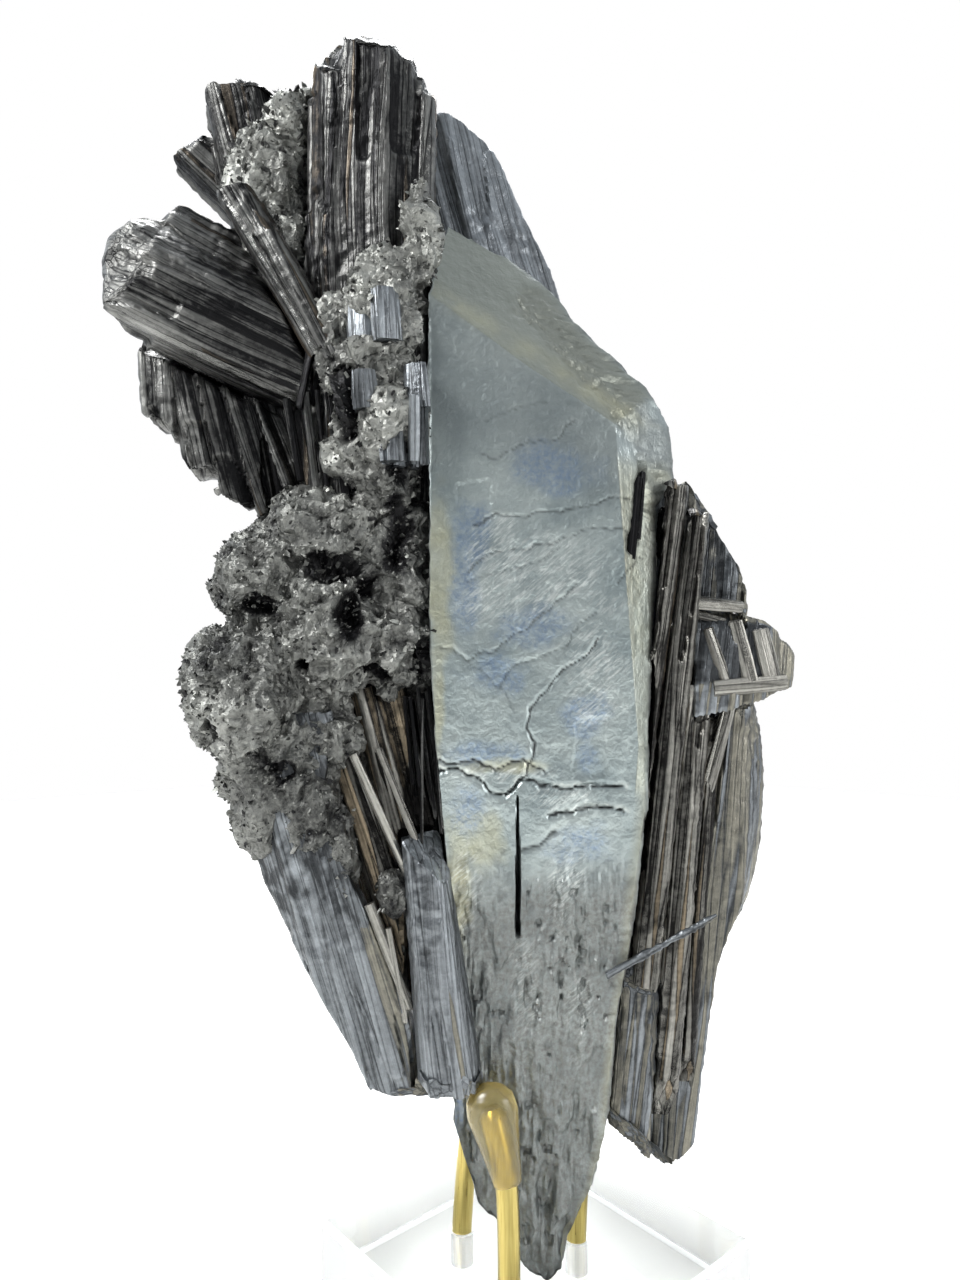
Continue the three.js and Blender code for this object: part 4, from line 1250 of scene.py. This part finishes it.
def stub_shade(place, tone, tarnish):
    """Painted shade in the recess behind its slats, and pale along its foot and its outer edge."""
    x, z = place[:, 0] + noise(place, 3, 211), place[:, 2]
    hollow = smooth_step(36.5, 35, x) * smooth_step(109, 110, z) * smooth_step(120, 119, z + 0.3 * (x - 30))
    # The recess behind the slats is darkened: painted shade.
    return tone - 0.6 * hollow, tarnish * (1 - 0.5 * hollow)


def inner_shade(place, tone, tarnish):
    """Copper and straw laths, with painted shade, near black, in the gap beside the main blade."""
    # The gap beside the main blade is painted near black: painted shade.
    gap = smooth_step(-20.5, -19, place[:, 0] - 0.12 * (place[:, 2] - 90)) * (place[:, 2] > 80)
    return tone - 1.2 * gap, tarnish * (1 - gap)


COLUMN = [((-25.4, -9, 136), (-25.4, -10.4, 208.6), 21, 16)]
UPPER_LEFT = [((-41.5, -1, 179), (-47.2, -4, 206), 13.5, 9), ((-43, 0, 183), (-57.2, -2, 197), 8.4, 7)]
ARM = [((-31, -7, 156.5), (-64.5, -16, 171.5), 16.5, 15), ((-31, -4, 165), (-60.5, -9, 180), 12, 11)]
SLIVERS = [((-31, -15, 158), (-46, -14, 184), 6, 4), ((-29.5, -16, 157), (-40, -16, 176), 4, 3)]
FAN = [
    ((-57.8, -8, 163), (-56.8, -8, 146.4), 6, 10), ((-55.4, -8, 163), (-50.8, -7.6, 139.8), 6, 9.4),
    ((-52.4, -8, 162), (-45, -7.2, 134.8), 6, 8.8), ((-48.6, -8, 161), (-39.6, -6.8, 133.6), 6, 8.2),
    ((-44.4, -8, 160), (-35.4, -6.4, 136), 6, 7.6), ((-40.4, -8, 158), (-32.6, -6, 140), 6, 7),
]
INNER_LEFT = [
    ((-21.8, -10, 110), (-14.4, -11, 79), 5.6, 7), ((-26.4, -11, 109), (-16.8, -13, 76), 5.8, 7),
    ((-29.4, -12, 100), (-16.8, -14, 62), 6, 8), ((-29.5, -11, 88), (-18.6, -13, 54), 6, 7),
]
# Planes along the fan's curved lower edge.
FAN_EDGE = [
    ((-58.5, -8, 149), (-1, 0, -0.8)), ((-53, -8, 141), (-0.6, 0, -1)), ((-44, -8, 134.8), (-0.25, 0, -1)),
]
RIGHT_BLADES = [
    ((10.6, -10.4, 62), (21, -10.4, 141.6), 4.8, 7), ((14.6, -8.6, 50), (24, -8.6, 137.5), 4.8, 7),
    ((18.8, -7, 42), (26.6, -7, 133), 4.8, 7), ((22.4, -5.4, 44), (29, -5.4, 129), 4.8, 7),
]


def build_fluted(dark, tarnished, grey):
    """The crystals that are bundles of laths, each with its slot, finish, prisms and own sizes."""
    pieces = [
        ("crown_column", "dark_grey", dark, COLUMN, dict(
            coarse=3.6, depth=1.2, seed=61, dome=0.4, steps=1.2, smoothing=40, level=0.33,
            tarnished=0.06, lumps=[(-25.2, -9.6, 195.5, 9.3, 7.8, 12.4)], shade=column_shade)),
        ("upper_left_crystals", "dark_grey", dark, UPPER_LEFT, dict(
            coarse=3.4, depth=1.0, seed=62, dome=1.6, steps=1.6, level=0.36)),
        ("left_arm", "dark_grey", dark, ARM, dict(
            coarse=3, depth=1.2, seed=63, dome=1, steps=1, rounding=1.5, smoothing=50,
            level=0.15, tarnished=0.05, lumps=[(-58.6, -12.6, 171.4, 6.6, 6.6, 7.6)], shade=arm_end_painted_highlight)),
        ("left_slivers", "dark_grey", dark, SLIVERS, dict(
            coarse=2, depth=0.6, seed=64, cell=0.28, steps=1.4)),
        ("left_fan", "dark_grey", dark, FAN, dict(
            coarse=2.8, depth=1.4, seed=65, steps=0.8, smoothing=40, level=0.18,
            tarnished=0.05, facets=FAN_EDGE, shade=fan_shade)),
        ("inner_left_blades", "tarnished_laths", tarnished, INNER_LEFT, dict(
            coarse=2.2, depth=1.2, seed=66, cell=0.32, level=0.45, tarnished=0.5, shade=inner_shade)),
        ("lower_left_blade", "lead_grey", grey, [((-34.5, -11, 100), (-20.5, -11, 50), 22, 14)], dict(
            coarse=3.2, depth=0.7, seed=67, cell=0.34, level=0.54, contrast=0.3, grit=0.05,
            facets=[((-33, -11, 57), (-0.8, 0, -1))], shade=left_blade_shade)),
        ("lower_left_prism", "lead_grey", grey, [((-17, -16.5, 88), (-12.6, -18, 50.5), 6.8, 6.5)], dict(
            coarse=2.4, depth=0.5, seed=68, cell=0.28, level=0.58, contrast=0.3, tarnished=0.05, grit=0.05,
            facets=[((-17.5, -17, 87), (0.8, -0.9, 1)), ((-16, -17, 52), (-0.7, 0, -1))])),
        ("right_back_crystal", "lead_grey", grey, [((20, 0, 35), (29, 0, 133), 18, 13)], dict(
            coarse=3.4, depth=0.9, seed=69, cell=0.46, level=0.46, contrast=0.26, tarnished=0.6, grit=0.12,
            facets=[((14, 0, 38), (-0.9, -0.2, -1)), ((25, 0, 36), (0.5, 0, -1))],
            lumps=[(29.6, 0, 92, 7.6, 5.6, 24)], shade=right_back_shade)),
        ("right_stub", "lead_grey", grey, [((31, -4, 104), (33, -4, 122), 16, 12)], dict(
            coarse=2.8, depth=1.8, seed=70, cell=0.3, level=0.55, contrast=0.6, tarnished=0.6,
            shade=stub_shade)),
        ("top_right_crystal", "lead_grey", grey, [((-2, 1, 160), (-14, 1, 201), 20, 10)], dict(
            coarse=4, depth=0.8, seed=71, level=0.74, contrast=0.4, tarnished=0, grit=0.1)),
        ("stray_needle", "lead_grey", grey, [((9.4, -18, 67.8), (26.6, -14, 75.4), 1.4, 1.2)], dict(
            coarse=1, depth=0.15, seed=72, cell=0.15, dome=0.2, steps=0.3, rounding=0.1)),
    ]
    for i, prism in enumerate(RIGHT_BLADES):
        root, _, _, thickness = prism
        foot = (root[0], root[1] - thickness / 2, root[2] + 9)
        pieces.append((f"right_blade_{i + 1}", "tarnished_laths", tarnished, [prism], dict(
            coarse=1.8, depth=1.3, seed=81 + i, cell=0.31, level=0.35, contrast=0.9, tarnished=0.16,
            facets=[(foot, (0, -1, -0.45))])))
    for node, slot, finish, prisms, sizes in pieces:
        set_piece(fluted_crystal(node + "_laths", node, prisms, **sizes), [node], finish)


def build_small_laths(dark, tarnished, grey):
    """Short blocks on the crest beside the main blade, slats about the stub, and loose laths in the
    hollows, some of them near black as painted shade. Each bundle is given as lath_points takes it,
    without its seed."""
    pieces = [
        ("crest_blocks", grey, "lead_grey", "lower_druse", [
            ((-22.5, -20, 158), (-23, -20.4, 167.4), 11, 4, 4.2, (0.9, 1.3), 6, 0.3, (0.6, 1.1)),
            ((-21, -19.4, 148.5), (-21.4, -19.6, 158), 10, 4, 3.4, (0.9, 1.3), 8, 0.4, (0.4, 1.0)),
            ((-20, -19, 141), (-20.6, -19.4, 151), 8, 5, 1.3, (0.9, 1.5), 14, 0.4, (-0.1, 0.7)),
        ]),
        ("right_slats", tarnished, "tarnished_laths", "right_stub", [
            ((29.2, -9.8, 109.8), (26.2, -9.8, 118.6), 1, 1, 2.2, (0.9, 1.1), 1, 0, (0.5, 0.8)),
            ((32.2, -9.8, 109.8), (29.8, -9.8, 119.4), 1, 1, 2.4, (0.9, 1.1), 1, 0, (0.6, 0.9)),
            ((35.6, -9.6, 110), (33.6, -9.6, 118), 1, 1, 2.8, (0.9, 1.1), 1, 0, (0.5, 0.9)),
            ((27.2, -9.6, 108.4), (38.8, -9.2, 109.4), 1, 1, 3.0, (0.9, 1.1), 0, 0, (0.5, 0.8)),
            ((24, -9, 121.6), (32.4, -8.4, 120.8), 1, 1, 2, (0.9, 1.3), 3, 0, (0.6, 0.9)),
            ((24, -9.2, 119.6), (29.6, -9, 118), 1, 1, 1.5, (0.9, 1.3), 4, 0, (0.4, 0.8)),
            ((24, -8, 97), (27.2, -8.4, 108.4), 1, 1, 1.8, (0.9, 1.2), 2, 0, (0.4, 0.8)),
            ((26.4, -7.4, 92), (30.4, -7.6, 108), 1, 1, 2.1, (0.9, 1.2), 2, 0, (0.4, 0.8)),
        ]),
        ("inner_slats", tarnished, "tarnished_laths", "inner_left_blades", [
            ((-27.4, -16.8, 99.4), (-18.2, -17.2, 79.4), 1, 1, 1.3, (0.9, 1.2), 0, 0, (0.7, 1.0)),
            ((-23, -15.8, 100), (-15.6, -16.6, 82), 1, 1, 1.1, (0.9, 1.2), 0, 0, (0.5, 0.9)),
            ((-24.6, -17.2, 78.4), (-18.2, -17.6, 62), 1, 1, 1.4, (0.9, 1.2), 0, 0, (0.7, 1.0)),
            ((-22, -17.2, 74), (-19.4, -17.4, 60), 1, 1, 1.0, (0.9, 1.2), 0, 0, (0.4, 0.8)),
        ]),
        ("hollow_laths", dark, "dark_grey", "lower_druse", [
            ((-18, -14, 108), (-15.6, -15, 84), 4.5, 3, 0.9, (0.5, 0.9), 3.5, 0.5, (-0.4, 0.7)),
            ((-33, -14, 152), (-29, -14.5, 132), 9, 3, 1.5, (0.5, 1.1), 4, 0.5, (-0.4, 0.6)),
            ((-30, -13, 164), (-33.5, -13.5, 146), 6, 4, 1.4, (0.5, 1.2), 4, 0.5, (-0.4, 0.5)),
            # The next four bundles lie deep behind the crystals in front, nearly black: painted shade that
            # fills the dark between them.
            ((-33, -7, 116), (-24.5, -7, 84), 12, 6, 1.6, (1.8, 2.4), 1, 0.12, (-0.2, 0.3)),
            ((-39, -6, 162), (-33, -6, 130), 14, 6, 1.6, (1.8, 2.4), 1, 0.12, (-0.2, 0.3)),
            ((-16.6, -8, 113), (-14.4, -8, 76), 5, 6, 2.4, (1.6, 2.2), 1, 0.12, (-0.3, 0.2)),
            ((-18.4, -9, 130), (-18, -9, 150), 4, 6, 2.4, (1.4, 1.8), 1, 0.12, (-0.2, 0.3)),
            ((13.8, -14.3, 128), (15.2, -12.6, 141), 1, 1, 1.5, (0.9, 1.1), 0, 0, (-0.6, -0.4)),
            ((14.8, -13.4, 131), (15.9, -12, 141.6), 1, 1, 1.1, (0.9, 1.1), 0, 0, (-0.3, -0.1)),
        ]),
    ]
    for name, finish, slot, node, bundles in pieces:
        laths = []
        for seed, bundle in enumerate(bundles, 101):
            laths += lath_points(*bundle, seed)
        set_piece(lath_piece(name, laths, finish), [node])


def build_crust():
    """The two crusts, each with its node, cell size, lumps, crystals to a square millimetre, largest
    crystal in millimetres, and seed."""
    crust = crust_finish()
    for node, cell, lumps, density, largest, seed in (
        ("lower_druse", 0.52, CRUST_LUMPS, 1.0, 1.0, 91), ("upper_druse", 0.42, (), 1.3, 1.2, 95),
    ):
        core = crust_core(node + "_core", node, cell, seed, lumps)
        piece = made_real(core, CRUST_TREE, {
            "Shards": SHARD_SHAPES, "Density": density / MM ** 2, "Smallest": 0.25 * MM,
            "Largest": largest * MM, "Finish": crust}, node + "_crust")
        set_piece(piece, [node])


def build_stand():
    """The rods and the pads, and the finish of the block, which keeps its CAD shape."""
    brass, resin = drawn_brass_finish(), resin_finish()
    for side in ROD_FEET:
        set_piece(rod(side), [f"rod_{side}"], brass)
        set_piece(pad(side), [f"pad_{side}"], resin)
    block = NODES["block"]
    block.data.materials.clear()
    block.data.materials.append(acrylic_finish())


LATHS_DARK, LATHS_TARNISHED, LATHS_GREY = dark_lath_finish(), tarnished_lath_finish(), lead_grey_finish()
build_main_blade()
build_fluted(LATHS_DARK, LATHS_TARNISHED, LATHS_GREY)
build_small_laths(LATHS_DARK, LATHS_TARNISHED, LATHS_GREY)
build_crust()
build_stand()


# ---------------------------------------------------------------- stage, light and camera

def pale_floor():
    """A round sheet of white paper, small enough that its edge is lost in the white backdrop."""
    radius, sides, drop = 620, 96, 0.05
    angle = np.arange(sides) / sides * 2 * np.pi
    rim = np.stack([radius * np.cos(angle), radius * np.sin(angle), np.full(sides, -drop)], 1)
    floor = mesh_object("pale_floor", rim, [list(range(sides))])
    material = bpy.data.materials.new("white_paper")
    material.use_nodes = True
    shader = material.node_tree.nodes["Principled BSDF"]
    shader.inputs["Base Color"].default_value = linear("ecebe8")
    shader.inputs["Roughness"].default_value = 0.85
    floor.data.materials.append(material)


def studio_light():
    """A white backdrop behind the cluster and a dim room in front of it, with soft lamps."""
    world = bpy.data.worlds.new("studio")
    bpy.context.scene.world = world
    world.use_nodes = True
    tree = world.node_tree
    tree.nodes.clear()
    direction = add_node(tree, "ShaderNodeTexCoord").outputs["Generated"]
    split = add_node(tree, "ShaderNodeSeparateXYZ", {0: direction}).outputs
    depth = add_node(tree, "ShaderNodeMapRange", {
        "Value": split["Y"], "From Min": -0.9, "From Max": 0.5, "To Min": 0.3, "To Max": 1.0}).outputs[0]
    lift = add_node(tree, "ShaderNodeMapRange", {
        "Value": split["Z"], "From Min": -0.2, "From Max": 0.8, "To Min": 0.75, "To Max": 1.4}).outputs[0]
    level = add_node(tree, "ShaderNodeMath", {0: depth, 1: lift}, operation="MULTIPLY").outputs[0]
    around = add_node(tree, "ShaderNodeBackground", {"Color": linear("eaf0f6"), "Strength": level}).outputs[0]
    seen = add_node(tree, "ShaderNodeBackground", {"Color": linear("ffffff"), "Strength": 1.0}).outputs[0]
    path = add_node(tree, "ShaderNodeLightPath").outputs
    straight = add_node(tree, "ShaderNodeMath", {
        0: path["Is Camera Ray"], 1: path["Is Transmission Ray"]}, operation="MAXIMUM").outputs[0]
    mixed = add_node(tree, "ShaderNodeMixShader", {0: straight, 1: around, 2: seen}).outputs[0]
    add_node(tree, "ShaderNodeOutputWorld", {"Surface": mixed})
    bpy.context.scene.view_settings.view_transform = "Standard"

    for name, place, size, power in (
        ("key", (-340, -220, 420), 200, 3.2), ("fill", (420, -260, 200), 240, 1.2),
        ("top", (-60, 320, 480), 300, 4.0),
    ):
        light = bpy.data.lights.new(name, "AREA")
        light.size = size * MM
        light.energy = power
        lamp = placed(name, light)
        lamp.location = Vector(place) * MM
        aim = Vector((-6, -8, 110)) * MM - lamp.location
        lamp.rotation_euler = aim.to_track_quat("-Z", "Y").to_euler()


def near_camera():
    """Level, at the middle of the cluster's height, close in front of it."""
    data = bpy.data.cameras.new("camera")
    data.lens = 26
    data.sensor_width = 36
    data.clip_start = 0.01
    camera = placed("camera", data)
    camera.location = Vector((-8.6, -150.7, 116)) * MM
    camera.rotation_euler = (math.radians(90), 0, 0)
    bpy.context.scene.camera = camera


pale_floor()
studio_light()
near_camera()
